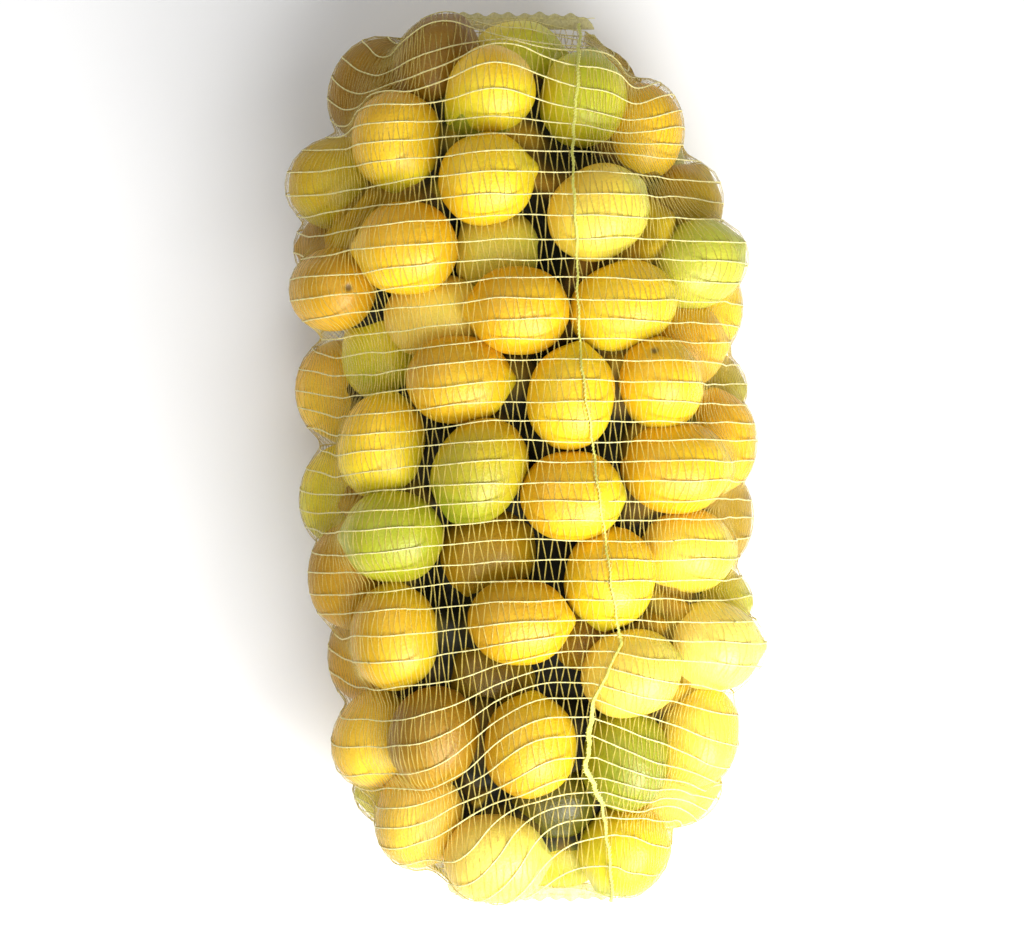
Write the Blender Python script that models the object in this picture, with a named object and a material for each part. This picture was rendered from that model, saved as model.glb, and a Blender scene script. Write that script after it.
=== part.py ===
"""Net of lemons: a knitted sack filled with lemons and sewn shut, lying on its back.

The sack is one closed solid. Its skin is the net pulled tight over the lemons inside, so it bulges
over each lemon of the outer layer and spans the gaps between them. The lemons of the upper side are
laid by hand in courses, the others are poured in and settled, and then the skin is drawn in.

+Z is up, away from the floor at z = 0. +Y runs along the sack to its upper end.
The origin is on the floor, below the middle of the sack.
"""

import math

import bmesh
import bpy
import numpy as np

# Driving sizes of the sack, in metres
SACK_LENGTH = 0.576
SACK_WIDTH = 0.302
SACK_THICKNESS = 0.192
SACK_LEAN = -0.053  # the sack's middle moves this far in x for each metre of y
SACK_BEND = -0.07  # and this far for each square metre
END_ROUNDING = 3.2  # how late the outline turns in towards an end
SIDE_ROUNDING = 2.2  # how round that turn is
TOP_CROWN = 2.3  # superellipse power of the upper half of a section
BELLY_CROWN = 4.5  # the same for the lower half, flattened by the weight

# The lemons
LEMON_RADIUS = 0.0285
LEMON_HALF_LENGTH = 0.0355
LEMON_VARIATION = 0.05
LEMON_COUNT = 98
TIP_SHIFT = 0.40  # a lemon's two end balls sit this far along its half length
TIP_SIZE = 0.80  # and are this much of its radius
SETTLE_ROUNDS = 400
SINKING = 0.0004  # how far the poured lemons sink in each round
LOOSE_BELOW = 0.40  # a laid lemon that is pushed below this share of the height is free like a poured one
LAID_WEIGHT = 0.35  # how far a laid lemon gives way, against 1 for a poured one
LAID_GRIP = (0.25, 0.25, 0.02)  # how much of the way back to its place a laid lemon goes each round
POUR_SEED = 11

# The net and its seams
NET_THICKNESS = 0.001
LOOP_COLUMNS = 60
LENGTH_ROWS = 56
DRAW_IN_ROUNDS = 220
SHEET_HALF_WIDTH = 0.055  # the flat sheet inside the sack that the skin stands off from
SHEET_INSET = 0.095
END_DROP = 0.022  # the sewn ends lie this far below mid height
END_NARROWING = 0.62  # the sheet's width at an end, as a share of its full width
LIP_LENGTH = 0.008
LIP_ROOM = 0.010  # lemons below mid height stay this much shorter than the sack, for the lip
LIP_HALF_THICKNESS = 0.002
SEAM_HEIGHT = 0.003
SEAM_PROFILE = ((-0.0040, 0.0), (-0.0015, 0.9), (0.0, 1.0), (0.0015, 0.9), (0.0040, 0.0))
FLOOR_BAND = 0.004  # skin lower than this lies flat on the floor
SKIN_SAG = 0.0005  # how far a point of skin dips below its neighbours' mean, so that gaps show
BELLY_FACING = -0.7  # skin that faces down more than this is pressed flat and doesn't dip

# Where the long side seam runs over the upper side, as (x, y) from the lower end up
SEAM_ROUTE = (
    (0.060, -0.280),
    (0.050, -0.222),
    (0.040, -0.190),
    (0.042, -0.155),
    (0.060, -0.115),
    (0.050, -0.050),
    (0.034, 0.070),
    (0.030, 0.280),
)

# Lemons of the upper side, course by course from the upper end down. Each is (x, y, turn, rise, sunk):
# its middle, its long axis' turn from +X and rise from the floor in degrees, and how deep it sits.
UPPER_COURSES = (
    ((-0.096, 0.241, 70, 0, 0.008), (-0.056, 0.252, 60, 0, 0.008), (-0.006, 0.257, 10, 0, 0.034)),
    ((-0.080, 0.205, 90, 0, 0.0), (-0.022, 0.235, 42, 0, 0.0), (0.042, 0.229, 75, 0, 0.010)),
    ((0.072, 0.212, 85, 0, 0.004), (0.080, 0.190, 80, 0, 0.022), (-0.120, 0.177, 15, 0, 0.0)),
    ((-0.025, 0.177, 15, 0, 0.0), (0.046, 0.157, 35, 0, 0.0), (0.098, 0.160, 60, 0, 0.014)),
    ((-0.122, 0.142, 0, 0, 0.022), (-0.073, 0.130, 0, 0, 0.0), (-0.020, 0.135, 0, 0, 0.008)),
    ((0.106, 0.124, 25, 0, 0.0), (-0.122, 0.110, 0, 70, 0.0), (-0.056, 0.092, 0, 0, 0.014)),
    ((-0.003, 0.094, 0, 0, 0.003), (0.060, 0.097, 20, 0, 0.0), (0.122, 0.092, 90, 0, 0.0)),
    ((0.098, 0.080, 0, 0, 0.030), (-0.090, 0.072, 90, 0, 0.018), (-0.042, 0.053, 0, 0, 0.006)),
    ((0.029, 0.038, 80, 0, 0.0), (0.086, 0.048, 100, 50, 0.0), (-0.124, 0.046, 90, 0, 0.0)),
    ((0.120, 0.056, 0, 0, 0.024), (0.124, 0.014, 90, 0, 0.002), (-0.090, 0.007, 75, 0, 0.0)),
    ((-0.027, -0.006, 60, 0, 0.0), (0.094, 0.000, 0, 0, 0.0), (-0.117, -0.022, 80, 0, 0.014)),
    ((0.030, -0.025, 0, 0, 0.0), (0.124, -0.038, 90, 0, 0.020), (-0.083, -0.050, 0, 0, 0.0)),
    ((-0.028, -0.058, 30, 0, 0.008), (0.100, -0.057, 0, 0, 0.0), (-0.110, -0.072, 90, 0, 0.016)),
    ((0.052, -0.070, 80, 0, 0.005), (0.114, -0.092, 0, 0, 0.024), (-0.083, -0.110, 90, 0, 0.003)),
    ((-0.003, -0.101, 0, 0, 0.0), (0.046, -0.113, 0, 0, 0.018), (-0.101, -0.126, 90, 0, 0.022)),
    ((0.067, -0.136, 15, 0, 0.0), (0.117, -0.122, 0, 0, 0.0), (-0.024, -0.140, 0, 0, 0.020)),
    ((0.003, -0.180, 85, 0, 0.0), (-0.058, -0.175, 70, 0, 0.0), (-0.091, -0.180, 60, 0, 0.010)),
    ((0.064, -0.186, 90, 0, 0.003), (0.108, -0.172, 80, 0, 0.0), (-0.088, -0.212, 10, 0, 0.0)),
    ((-0.064, -0.226, 80, 0, 0.0), (0.016, -0.222, 0, 0, 0.024), (0.098, -0.212, 0, 0, 0.002)),
    ((-0.022, -0.245, 0, 0, 0.0), (0.022, -0.252, 0, 0, 0.018), (0.058, -0.246, 60, 0, 0.004)),
)

LEMON_YELLOW = (0.80, 0.56, 0.06)
NET_ROUGHNESS = 0.5


class Lemons:
    """All the lemons of the sack: middles, long axes, radii and half lengths."""

    def __init__(self, middles, axes, radii, half_lengths, laid):
        self.middles = middles
        self.axes = axes
        self.radii = radii
        self.half_lengths = half_lengths
        self.laid = laid


def spine_x(y):
    """Where the sack's middle line runs at y: it leans and bends a little."""
    return SACK_LEAN * y + SACK_BEND * y**2


def end_taper(y, margin=0.0):
    """How full the section is at y, from 1 in the middle to 0 at the sack's ends."""
    along = np.clip(np.abs(y) / (SACK_LENGTH / 2 - margin), 0.0, 0.995)
    return (1.0 - along**END_ROUNDING) ** (1.0 / SIDE_ROUNDING)


def crown_height(x, y, margin):
    """Height of a lemon's middle that touches the upper skin at (x, y) from inside."""
    taper = end_taper(y, margin)
    half_width = (SACK_WIDTH / 2 - margin) * taper
    half_height = (SACK_THICKNESS / 2 - margin) * taper**0.6
    across = np.clip(np.abs(x - spine_x(y)) / half_width, 0.0, 1.0)
    return SACK_THICKNESS / 2 + half_height * (1.0 - across**TOP_CROWN) ** (1.0 / TOP_CROWN)


def long_axis(turn, rise):
    """Unit vector of a long axis from its turn and rise in degrees."""
    turn = math.radians(turn)
    rise = math.radians(rise)
    return (math.cos(rise) * math.cos(turn), math.cos(rise) * math.sin(turn), math.sin(rise))


def fill_sack():
    """Lay the upper lemons, pour in the others, and return them all before they settle."""
    pour = np.random.RandomState(POUR_SEED)
    laid = [lemon for course in UPPER_COURSES for lemon in course]
    radii = LEMON_RADIUS * (1.0 + LEMON_VARIATION * pour.uniform(-1, 1, LEMON_COUNT))
    half_lengths = LEMON_HALF_LENGTH * (1.0 + LEMON_VARIATION * pour.uniform(-1, 1, LEMON_COUNT))
    middles = np.empty((LEMON_COUNT, 3))
    axes = pour.normal(size=(LEMON_COUNT, 3))
    for index, (x, y, turn, rise, sunk) in enumerate(laid):
        middles[index] = (x, y, crown_height(x, y, radii[index]) - sunk)
        axes[index] = long_axis(turn, rise)
    poured = slice(len(laid), LEMON_COUNT)
    count = LEMON_COUNT - len(laid)
    middles[poured, 0] = pour.uniform(-0.8, 0.8, count) * SACK_WIDTH / 2
    middles[poured, 1] = pour.uniform(-0.9, 0.9, count) * SACK_LENGTH / 2
    middles[poured, 2] = pour.uniform(0.1, 0.5, count) * SACK_THICKNESS
    axes[poured, 2] *= 0.5
    axes /= np.linalg.norm(axes, axis=1, keepdims=True)
    return Lemons(middles, axes, radii, half_lengths, np.arange(LEMON_COUNT) < len(laid))


def keep_inside(points, radii):
    """Move balls that stick out of the sack back in, onto the floor or under the skin."""
    low = np.clip((SACK_THICKNESS * 0.6 - points[:, 2]) / (SACK_THICKNESS * 0.2), 0.0, 1.0)
    y_limit = SACK_LENGTH / 2 - radii - LIP_ROOM * low
    points[:, 1] = np.clip(points[:, 1], -y_limit, y_limit)
    taper = np.maximum(end_taper(points[:, 1] * 0.985, radii), 0.05)
    half_width = (SACK_WIDTH / 2 - radii) * taper
    half_height = (SACK_THICKNESS / 2 - radii) * taper**0.6
    across = (points[:, 0] - spine_x(points[:, 1])) / half_width
    upward = (points[:, 2] - SACK_THICKNESS / 2) / half_height
    power = np.where(upward > 0, TOP_CROWN, BELLY_CROWN)
    fill = (np.abs(across) ** power + np.abs(upward) ** power) ** (1.0 / power)
    squeeze = 1.0 / np.maximum(fill, 1.0)
    points[:, 0] = across * squeeze * half_width + spine_x(points[:, 1])
    points[:, 2] = upward * squeeze * half_height + SACK_THICKNESS / 2
    points[:, 2] = np.maximum(points[:, 2], radii + NET_THICKNESS)
    return points


def settle(lemons):
    """Push overlapping lemons apart until the sack is packed. Each one acts as three balls."""
    ball_shift = np.array([-TIP_SHIFT, 0.0, TIP_SHIFT])
    ball_size = np.array([TIP_SIZE, 1.0, TIP_SIZE])
    count = len(lemons.radii)
    offsets = lemons.axes[:, None, :] * lemons.half_lengths[:, None, None] * ball_shift[None, :, None]
    radii = (lemons.radii[:, None] * ball_size[None, :]).ravel()
    owner = np.repeat(np.arange(count), 3)
    contact = radii[:, None] + radii[None, :]
    others = owner[:, None] != owner[None, :]
    home = lemons.middles.copy()
    weight = np.where(lemons.laid, LAID_WEIGHT, 1.0)
    laid = lemons.laid
    poured = ~laid
    skin_room = lemons.radii[:, None] + NET_THICKNESS
    highest = np.array([SACK_WIDTH / 2, SACK_LENGTH / 2, SACK_THICKNESS]) - skin_room
    lowest = np.array([-SACK_WIDTH / 2, -SACK_LENGTH / 2, 0.0]) + skin_room
    for _ in range(SETTLE_ROUNDS):
        balls = (lemons.middles[:, None, :] + offsets).reshape(-1, 3)
        gap = balls[:, None, :] - balls[None, :, :]
        distance = np.linalg.norm(gap, axis=2) + 1e-9
        overlap = np.where(others, np.maximum(contact - distance, 0.0), 0.0)
        share = weight[owner][:, None] / (weight[owner][:, None] + weight[owner][None, :])
        push = (gap / distance[:, :, None] * (overlap * share)[:, :, None]).sum(axis=1)
        touching = np.maximum((overlap > 0).sum(axis=1), 1)[:, None]
        push = push / touching**0.5
        lemons.middles += push.reshape(count, 3, 3).sum(axis=1) * 0.5
        lemons.middles[laid] += ((home - lemons.middles) * LAID_GRIP)[laid]
        lemons.middles[laid, 2] = np.minimum(lemons.middles, home)[laid, 2]
        lemons.middles[poured, 2] -= SINKING
        balls = (lemons.middles[:, None, :] + offsets).reshape(-1, 3)
        inside = keep_inside(balls.copy(), radii)
        loose = poured | (lemons.middles[:, 2] < LOOSE_BELOW * SACK_THICKNESS)
        lemons.middles[loose] += (inside - balls).reshape(count, 3, 3).sum(axis=1)[loose] * 0.6
        lemons.middles = np.clip(lemons.middles, lowest, highest)
    return lemons


def sheet_spot(around, along):
    """Where the skin's stand-off starts, and which way it points, at (around, along).

    around runs in metres round the sack from the middle of its upper side, towards +X first: over the
    flat sheet, down the right side, back along the belly and up the left side. along runs from -1 at
    one sewn end to 1 at the other, and its last stretches turn over the ends.
    """
    flat = 2 * SHEET_HALF_WIDTH
    bend = math.pi * SHEET_INSET
    place = (around + SHEET_HALF_WIDTH) % (2 * flat + 2 * bend)
    stretches = [place < flat, place < flat + bend, place < 2 * flat + bend]
    right_turn = (place - flat) / SHEET_INSET
    left_turn = (place - 2 * flat - bend) / SHEET_INSET
    up = math.pi / 2
    angle = np.select(stretches, [up, up - right_turn, -up], -up - left_turn)
    belly_x = 1.5 * flat + bend - place
    across = np.select(stretches, [place - flat / 2, flat / 2, belly_x], -flat / 2)
    straight = SACK_LENGTH / 2 - SHEET_INSET
    straight_share = straight / (straight + SHEET_INSET * math.pi / 2)
    over_end = np.clip((np.abs(along) - straight_share) / (1 - straight_share), 0.0, 1.0)
    tilt = np.sign(along) * over_end * math.pi / 2
    spot_y = np.clip(along / straight_share, -1, 1) * straight
    narrow = END_NARROWING + (1 - END_NARROWING) * end_taper(spot_y)
    spot_x = across * narrow + spine_x(spot_y)
    spot_z = SACK_THICKNESS / 2 - END_DROP * over_end**2
    spots = np.stack((spot_x, spot_y, spot_z), axis=-1)
    level = np.cos(tilt)
    ways = np.stack((level * np.cos(angle), np.sin(tilt), level * np.sin(angle)), axis=-1)
    return spots, ways


def lemon_reach(spots, ways, lemons):
    """How far out each ray leaves the last lemon that it meets, or 0 where it meets none."""
    reach = np.zeros(spots.shape[:-1])
    for middle, axis, radius, half_length in zip(
        lemons.middles, lemons.axes, lemons.radii + NET_THICKNESS, lemons.half_lengths + NET_THICKNESS
    ):
        start = spots - middle
        stretch = 1 / half_length**2 - 1 / radius**2
        start_along = start @ axis
        way_along = ways @ axis
        square = (ways * ways).sum(-1) / radius**2 + stretch * way_along**2
        cross = (start * ways).sum(-1) / radius**2 + stretch * start_along * way_along
        rest = (start * start).sum(-1) / radius**2 + stretch * start_along**2 - 1
        under_root = cross**2 - square * rest
        far = (-cross + np.sqrt(np.maximum(under_root, 0.0))) / square
        reach = np.where(under_root > 0, np.maximum(reach, far), reach)
    return reach


def draw_in(spots, ways, reach):
    """Shrink the skin onto the lemons: each point moves to its neighbours' mean or stays on a lemon."""
    height = np.full(reach.shape, SHEET_INSET * 1.35)
    height[[0, -1]] = reach[[0, -1]].max(axis=1, keepdims=True)
    sag = np.where(ways[..., 2] > BELLY_FACING, SKIN_SAG, 0.0)
    for _ in range(DRAW_IN_ROUNDS):
        skin = spots + ways * height[..., None]
        mean = (np.roll(skin, 1, axis=1) + np.roll(skin, -1, axis=1)) / 4
        mean[1:-1] += (skin[2:] + skin[:-2]) / 4
        taut = ((mean - spots) * ways).sum(-1) - sag
        height[1:-1] = np.maximum(reach, taut)[1:-1]
    return height


def seam_column(along):
    """Where round the sack the side seam crosses the row at this place along it."""
    spots, ways = sheet_spot(np.zeros_like(along), along)
    y = (spots + ways * SHEET_INSET)[:, 1]
    route = np.array(SEAM_ROUTE)
    x = np.interp(y, route[:, 1], route[:, 0]) - spine_x(y)
    past_flat = np.clip((x - SHEET_HALF_WIDTH) / SHEET_INSET, 0.0, 0.9)
    return np.minimum(x, SHEET_HALF_WIDTH) + SHEET_INSET * np.arcsin(past_flat)


def loop_offsets():
    """Places of the columns round a loop, counted from the seam, and the seam's height at each."""
    loop = 4 * SHEET_HALF_WIDTH + 2 * math.pi * SHEET_INSET
    plain = np.linspace(0, loop, LOOP_COLUMNS, endpoint=False)[1:]
    offsets = np.concatenate(([offset for offset, _ in SEAM_PROFILE], plain))
    heights = np.concatenate(([height for _, height in SEAM_PROFILE], np.zeros(len(plain))))
    order = np.argsort(offsets)
    return offsets[order], heights[order] * SEAM_HEIGHT


def lip_row(spots, around, reach_y):
    """One row round the flat sewn lip at an end, this far along y from where the end starts."""
    _, ways = sheet_spot(around, np.zeros_like(around))
    row = spots + ways * LIP_HALF_THICKNESS
    row[:, 1] = spots[:, 1] + reach_y
    return row


def net_skin(lemons):
    """Rows of skin points from the lower end to the upper one, and the two ends' middles."""
    offsets, seam_heights = loop_offsets()
    along = np.linspace(-1, 1, LENGTH_ROWS)
    around = seam_column(along)[:, None] + offsets[None, :]
    spots, ways = sheet_spot(around, np.broadcast_to(along[:, None], around.shape))
    reach = lemon_reach(spots, ways, lemons)
    height = draw_in(spots, ways, reach)
    skin = spots + ways * (height + seam_heights[None, :])[..., None]
    lower_lip = [lip_row(spots[0], around[0], -height[0, 0] - out) for out in (LIP_LENGTH, 0.0)]
    upper_lip = [lip_row(spots[-1], around[-1], height[-1, 0] + out) for out in (0.0, LIP_LENGTH)]
    skin = np.array([*lower_lip, *skin[1:-1], *upper_lip])
    skin[..., 2] = np.where(skin[..., 2] < FLOOR_BAND, 0.0, skin[..., 2])
    skin[..., :2] -= (skin[..., :2].min(axis=(0, 1)) + skin[..., :2].max(axis=(0, 1))) / 2
    return skin, (skin[0].mean(axis=0), skin[-1].mean(axis=0))


def sack_from_sphere(skin, end_middles):
    """Start from a sphere with one ring for each row of skin and move its points onto the skin."""
    row_count, column_count = skin.shape[:2]
    mesh = bpy.data.meshes.new("net_of_lemons")
    shape = bmesh.new()
    bmesh.ops.create_uvsphere(shape, u_segments=column_count, v_segments=row_count + 1, radius=1.0)
    for point in shape.verts:
        row = round(math.acos(max(-1.0, min(1.0, -point.co.z))) / math.pi * (row_count + 1)) - 1
        column = round(math.atan2(point.co.y, point.co.x) / (2 * math.pi) * column_count) % column_count
        if row < 0:
            point.co = end_middles[0]
        elif row >= row_count:
            point.co = end_middles[1]
        else:
            point.co = skin[row, column]
    shape.to_mesh(mesh)
    shape.free()
    mesh.shade_smooth()
    return mesh


def skin_material():
    """The colour of ripe lemons under a thin pale net."""
    material = bpy.data.materials.new("lemons_under_net")
    material.use_nodes = True
    shader = material.node_tree.nodes["Principled BSDF"]
    shader.inputs["Base Color"].default_value = (*LEMON_YELLOW, 1.0)
    shader.inputs["Roughness"].default_value = NET_ROUGHNESS
    shader.inputs["Metallic"].default_value = 0.0
    return material


def build_sack():
    """The whole net of lemons, as one object in its own collection."""
    for old in list(bpy.context.scene.objects):
        bpy.data.objects.remove(old, do_unlink=True)
    collection = bpy.data.collections.new("net_of_lemons")
    bpy.context.scene.collection.children.link(collection)
    lemons = settle(fill_sack())
    skin, end_middles = net_skin(lemons)
    sack = bpy.data.objects.new("net_of_lemons", sack_from_sphere(skin, end_middles))
    sack.data.materials.append(skin_material())
    collection.objects.link(sack)
    return sack


build_sack()
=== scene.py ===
# %% [markdown]
# # A net of lemons
#
# The real thing is a tube of knitted net that has been packed tight with lemons, pulled shut and sewn. It
# lies on its back, and we look straight down on it. Three layers make up what we see: the lemons, the net
# that is stretched over them, and the dark space that shows between them.
#
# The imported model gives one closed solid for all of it. It is the right size and shape, but it has no
# lemons and no holes. So this notebook takes only its box, and builds the lemons and the net again,
# one layer at a time, inside it.

# %% Load the fixed frame
import math

import bpy
import numpy as np
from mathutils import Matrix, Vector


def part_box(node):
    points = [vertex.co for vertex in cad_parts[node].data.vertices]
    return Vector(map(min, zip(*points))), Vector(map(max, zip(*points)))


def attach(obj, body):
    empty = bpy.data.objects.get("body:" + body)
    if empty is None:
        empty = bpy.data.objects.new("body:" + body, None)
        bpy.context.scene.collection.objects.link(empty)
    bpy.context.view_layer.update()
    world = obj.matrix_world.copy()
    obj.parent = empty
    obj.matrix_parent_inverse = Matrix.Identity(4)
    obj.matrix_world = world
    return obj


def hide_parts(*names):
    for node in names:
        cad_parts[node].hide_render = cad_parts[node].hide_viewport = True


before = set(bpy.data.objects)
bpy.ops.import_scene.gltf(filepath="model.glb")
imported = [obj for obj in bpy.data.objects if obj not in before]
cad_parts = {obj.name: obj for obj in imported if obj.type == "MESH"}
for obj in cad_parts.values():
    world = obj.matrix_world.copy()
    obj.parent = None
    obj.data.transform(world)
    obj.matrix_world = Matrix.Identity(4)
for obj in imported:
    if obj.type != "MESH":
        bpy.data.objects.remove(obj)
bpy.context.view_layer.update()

low_corner, high_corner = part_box("net_of_lemons")
print("sack", [round(high - low, 4) for low, high in zip(low_corner, high_corner)], "m")

# %% [markdown]
# ## Where the lemons lie
#
# A heap could be made with a rigid body simulation, but then the lemons end up wherever they roll, and the
# heap never looks like the one we know. A second way is to place each lemon by hand, which is slow, and the
# hidden ones would be guesswork. We take a way between the two. The lemons of the upper side are listed one
# by one, course by course. The others are poured in, and a small loop pushes overlapping lemons apart until
# the sack is packed. Each lemon acts as three balls in a row, because a test between balls is simple and
# fast.
#
# The sack itself is a long rounded tube that leans and bends a little, rounder on its crown than on its
# belly.

# %% Size of the sack
SACK_LENGTH = 0.576
SACK_WIDTH = 0.302
SACK_THICKNESS = 0.192
SACK_LEAN = -0.053
SACK_BEND = -0.07
END_ROUNDING = 3.2
SIDE_ROUNDING = 2.2
TOP_CROWN = 2.3
BELLY_CROWN = 4.5
HEIGHT_TAPER = 0.6  # the sack gets lower towards its ends less than it gets narrower
LAST_TAPER = 0.995


def spine_x(y):
    """Where the sack's middle line runs at y."""
    return SACK_LEAN * y + SACK_BEND * y**2


def end_taper(y, margin=0.0):
    """How full the sack's section is at y, from 1 in the middle to 0 at its ends."""
    along = np.clip(np.abs(y) / (SACK_LENGTH / 2 - margin), 0.0, LAST_TAPER)
    return (1.0 - along**END_ROUNDING) ** (1.0 / SIDE_ROUNDING)


def crown_height(x, y, margin):
    """Height of a lemon's middle that touches the upper skin at (x, y) from inside."""
    taper = end_taper(y, margin)
    half_width = (SACK_WIDTH / 2 - margin) * taper
    half_height = (SACK_THICKNESS / 2 - margin) * taper**HEIGHT_TAPER
    across = np.clip(np.abs(x - spine_x(y)) / half_width, 0.0, 1.0)
    return SACK_THICKNESS / 2 + half_height * (1.0 - across**TOP_CROWN) ** (1.0 / TOP_CROWN)


print("crown", round(float(crown_height(0.0, 0.0, 0.0)), 4), "m above the table")

# %% [markdown]
# ## The upper lemons, laid one by one
#
# Each line is one lemon: where its middle is, which way its long axis turns and how far it rises, how deep
# it sits, and three facts about its looks. Ripeness runs from -1, still green, over 0, clear yellow, to 1,
# deep amber, and that dark amber end is partly painted shade. The next number darkens the rind above 0,
# partly because it has gone dull and partly as painted shade for a lemon that lies in shade. Below 0 it
# fades the rind to pale cream, which is painted light. The last number's sign says which end of the long
# axis carries the tip, and its size how pointed the tip is. The stem's scar is at the other end. A list like
# this reads as a packer's plan, and one lemon can be turned without touching the rest.

# %% The courses, from the upper end down
# x, y, turn in degrees, rise in degrees, sunk, ripeness, dullness and painted shade, tip
UPPER_LEMONS = (
    (-0.096, 0.241, 70, 0, 0.008, 0.95, 0.28, 1),
    (-0.056, 0.252, 60, 0, 0.008, 0.95, 0.45, 1),
    (-0.006, 0.257, 10, 0, 0.034, -0.30, 0.00, 1),
    (-0.080, 0.205, 90, 0, 0.000, 0.20, 0.08, -1),
    (-0.022, 0.235, 42, 0, 0.000, 0.00, 0.00, -2.2),
    (0.042, 0.229, 75, 0, 0.010, -0.35, 0.00, 1),
    (0.072, 0.212, 85, 0, 0.004, 0.30, 0.00, -1),
    (0.080, 0.190, 80, 0, 0.022, -0.35, 0.40, 1),
    (-0.120, 0.177, 15, 0, 0.000, -0.10, 0.35, 1),
    (-0.025, 0.177, 15, 0, 0.000, 0.10, 0.00, 1),
    (0.046, 0.157, 35, 0, 0.000, -0.05, -0.12, 1),
    (0.098, 0.160, 60, 0, 0.014, 0.20, 0.45, 1),
    (-0.122, 0.142, 0, 0, 0.022, 0.90, 0.25, -1),
    (-0.073, 0.130, 0, 0, 0.000, 0.30, 0.00, -1),
    (-0.020, 0.135, 0, 0, 0.008, -0.22, -0.14, 1),
    (0.106, 0.124, 25, 0, 0.000, -0.50, -0.08, 1),
    (-0.122, 0.110, 0, 70, 0.000, 0.45, 0.10, -1),
    (-0.056, 0.092, 0, 0, 0.014, 0.02, -0.18, 1),
    (-0.003, 0.094, 0, 0, 0.003, 0.35, 0.00, -1),
    (0.060, 0.097, 20, 0, 0.000, 0.00, 0.00, 1),
    (0.122, 0.092, 90, 0, 0.000, 0.10, 0.00, 1),
    (0.098, 0.080, 0, 0, 0.030, 0.40, 0.00, 1),
    (-0.090, 0.072, 90, 0, 0.018, -0.30, 0.00, 1),
    (-0.042, 0.053, 0, 0, 0.006, 0.25, 0.15, 1),
    (0.029, 0.038, 80, 0, 0.000, 0.00, 0.00, 1),
    (0.086, 0.048, 100, 50, 0.000, 0.05, 0.00, -1),
    (-0.124, 0.046, 90, 0, 0.000, 0.30, -0.05, -1),
    (0.120, 0.056, 0, 0, 0.024, -0.10, 0.42, 1),
    (0.124, 0.014, 90, 0, 0.002, 0.36, 0.00, 1),
    (-0.090, 0.007, 75, 0, 0.000, 0.00, 0.00, 1),
    (-0.027, -0.006, 60, 0, 0.000, -0.26, 0.32, -1),
    (0.094, 0.000, 0, 0, 0.000, 0.32, 0.06, 1),
    (-0.117, -0.022, 80, 0, 0.014, -0.22, 0.10, 1),
    (0.030, -0.025, 0, 0, 0.000, 0.15, 0.00, 1),
    (0.124, -0.038, 90, 0, 0.020, 0.40, 0.50, 1),
    (-0.083, -0.050, 0, 0, 0.000, -0.45, 0.20, -1),
    (-0.028, -0.058, 30, 0, 0.008, 0.35, 0.45, 1),
    (0.100, -0.057, 0, 0, 0.000, 0.00, -0.10, 1),
    (-0.110, -0.072, 90, 0, 0.016, 0.65, 0.20, 1),
    (0.052, -0.070, 80, 0, 0.005, 0.00, 0.00, -1),
    (0.114, -0.092, 0, 0, 0.024, -0.20, 0.20, 1),
    (-0.083, -0.110, 90, 0, 0.003, 0.22, 0.18, 1),
    (-0.003, -0.101, 0, 0, 0.000, 0.30, 0.12, 1),
    (0.046, -0.113, 0, 0, 0.018, 0.60, 0.30, 1),
    (-0.101, -0.126, 90, 0, 0.022, 0.65, 0.12, 1),
    (0.067, -0.136, 15, 0, 0.000, -0.08, -0.18, 1),
    (0.117, -0.122, 0, 0, 0.000, -0.10, -0.30, 1),
    (-0.024, -0.140, 0, 0, 0.020, 0.25, 0.75, 1),
    (0.003, -0.180, 85, 0, 0.000, 0.25, 0.20, 1),
    (-0.058, -0.175, 70, 0, 0.000, 0.80, 0.40, -1),
    (-0.091, -0.180, 60, 0, 0.010, 0.20, -0.05, 1),
    (0.064, -0.186, 90, 0, 0.003, -0.60, 0.38, 1),
    (0.108, -0.172, 80, 0, 0.000, 0.10, -0.14, 1),
    (-0.088, -0.212, 10, 0, 0.000, -0.15, -0.10, -1),
    (-0.064, -0.226, 80, 0, 0.000, 0.35, -0.10, 1),
    (0.016, -0.222, 0, 0, 0.024, -0.30, 0.88, 1),
    (0.098, -0.212, 0, 0, 0.002, 0.00, -0.16, 1),
    (-0.022, -0.245, 0, 0, 0.000, -0.05, -0.26, 1),
    (0.022, -0.252, 0, 0, 0.018, -0.10, 0.25, 1),
    (0.058, -0.246, 60, 0, 0.004, -0.15, 0.00, -1),
)
print(len(UPPER_LEMONS), "lemons laid by hand")

# %% Lay the upper lemons and pour in the others
LEMON_RADIUS = 0.0285
LEMON_HALF_LENGTH = 0.0355
LEMON_VARIATION = 0.05
LEMON_COUNT = 98
POUR_SEED = 11
POUR_WIDTH = 0.8
POUR_LENGTH = 0.9
POUR_LEVELS = (0.1, 0.5)
POURED_RISE = 0.5


class Lemons:
    """A heap of lemons: middles, long axes, radii, half lengths, and which of them are listed."""

    def __init__(self, middles, axes, radii, half_lengths, laid=None):
        self.middles = middles
        self.axes = axes
        self.radii = radii
        self.half_lengths = half_lengths
        self.laid = laid


def long_axis(turn, rise):
    """Unit vector of a long axis from its turn and rise in degrees."""
    turn = math.radians(turn)
    rise = math.radians(rise)
    return (math.cos(rise) * math.cos(turn), math.cos(rise) * math.sin(turn), math.sin(rise))


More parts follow.
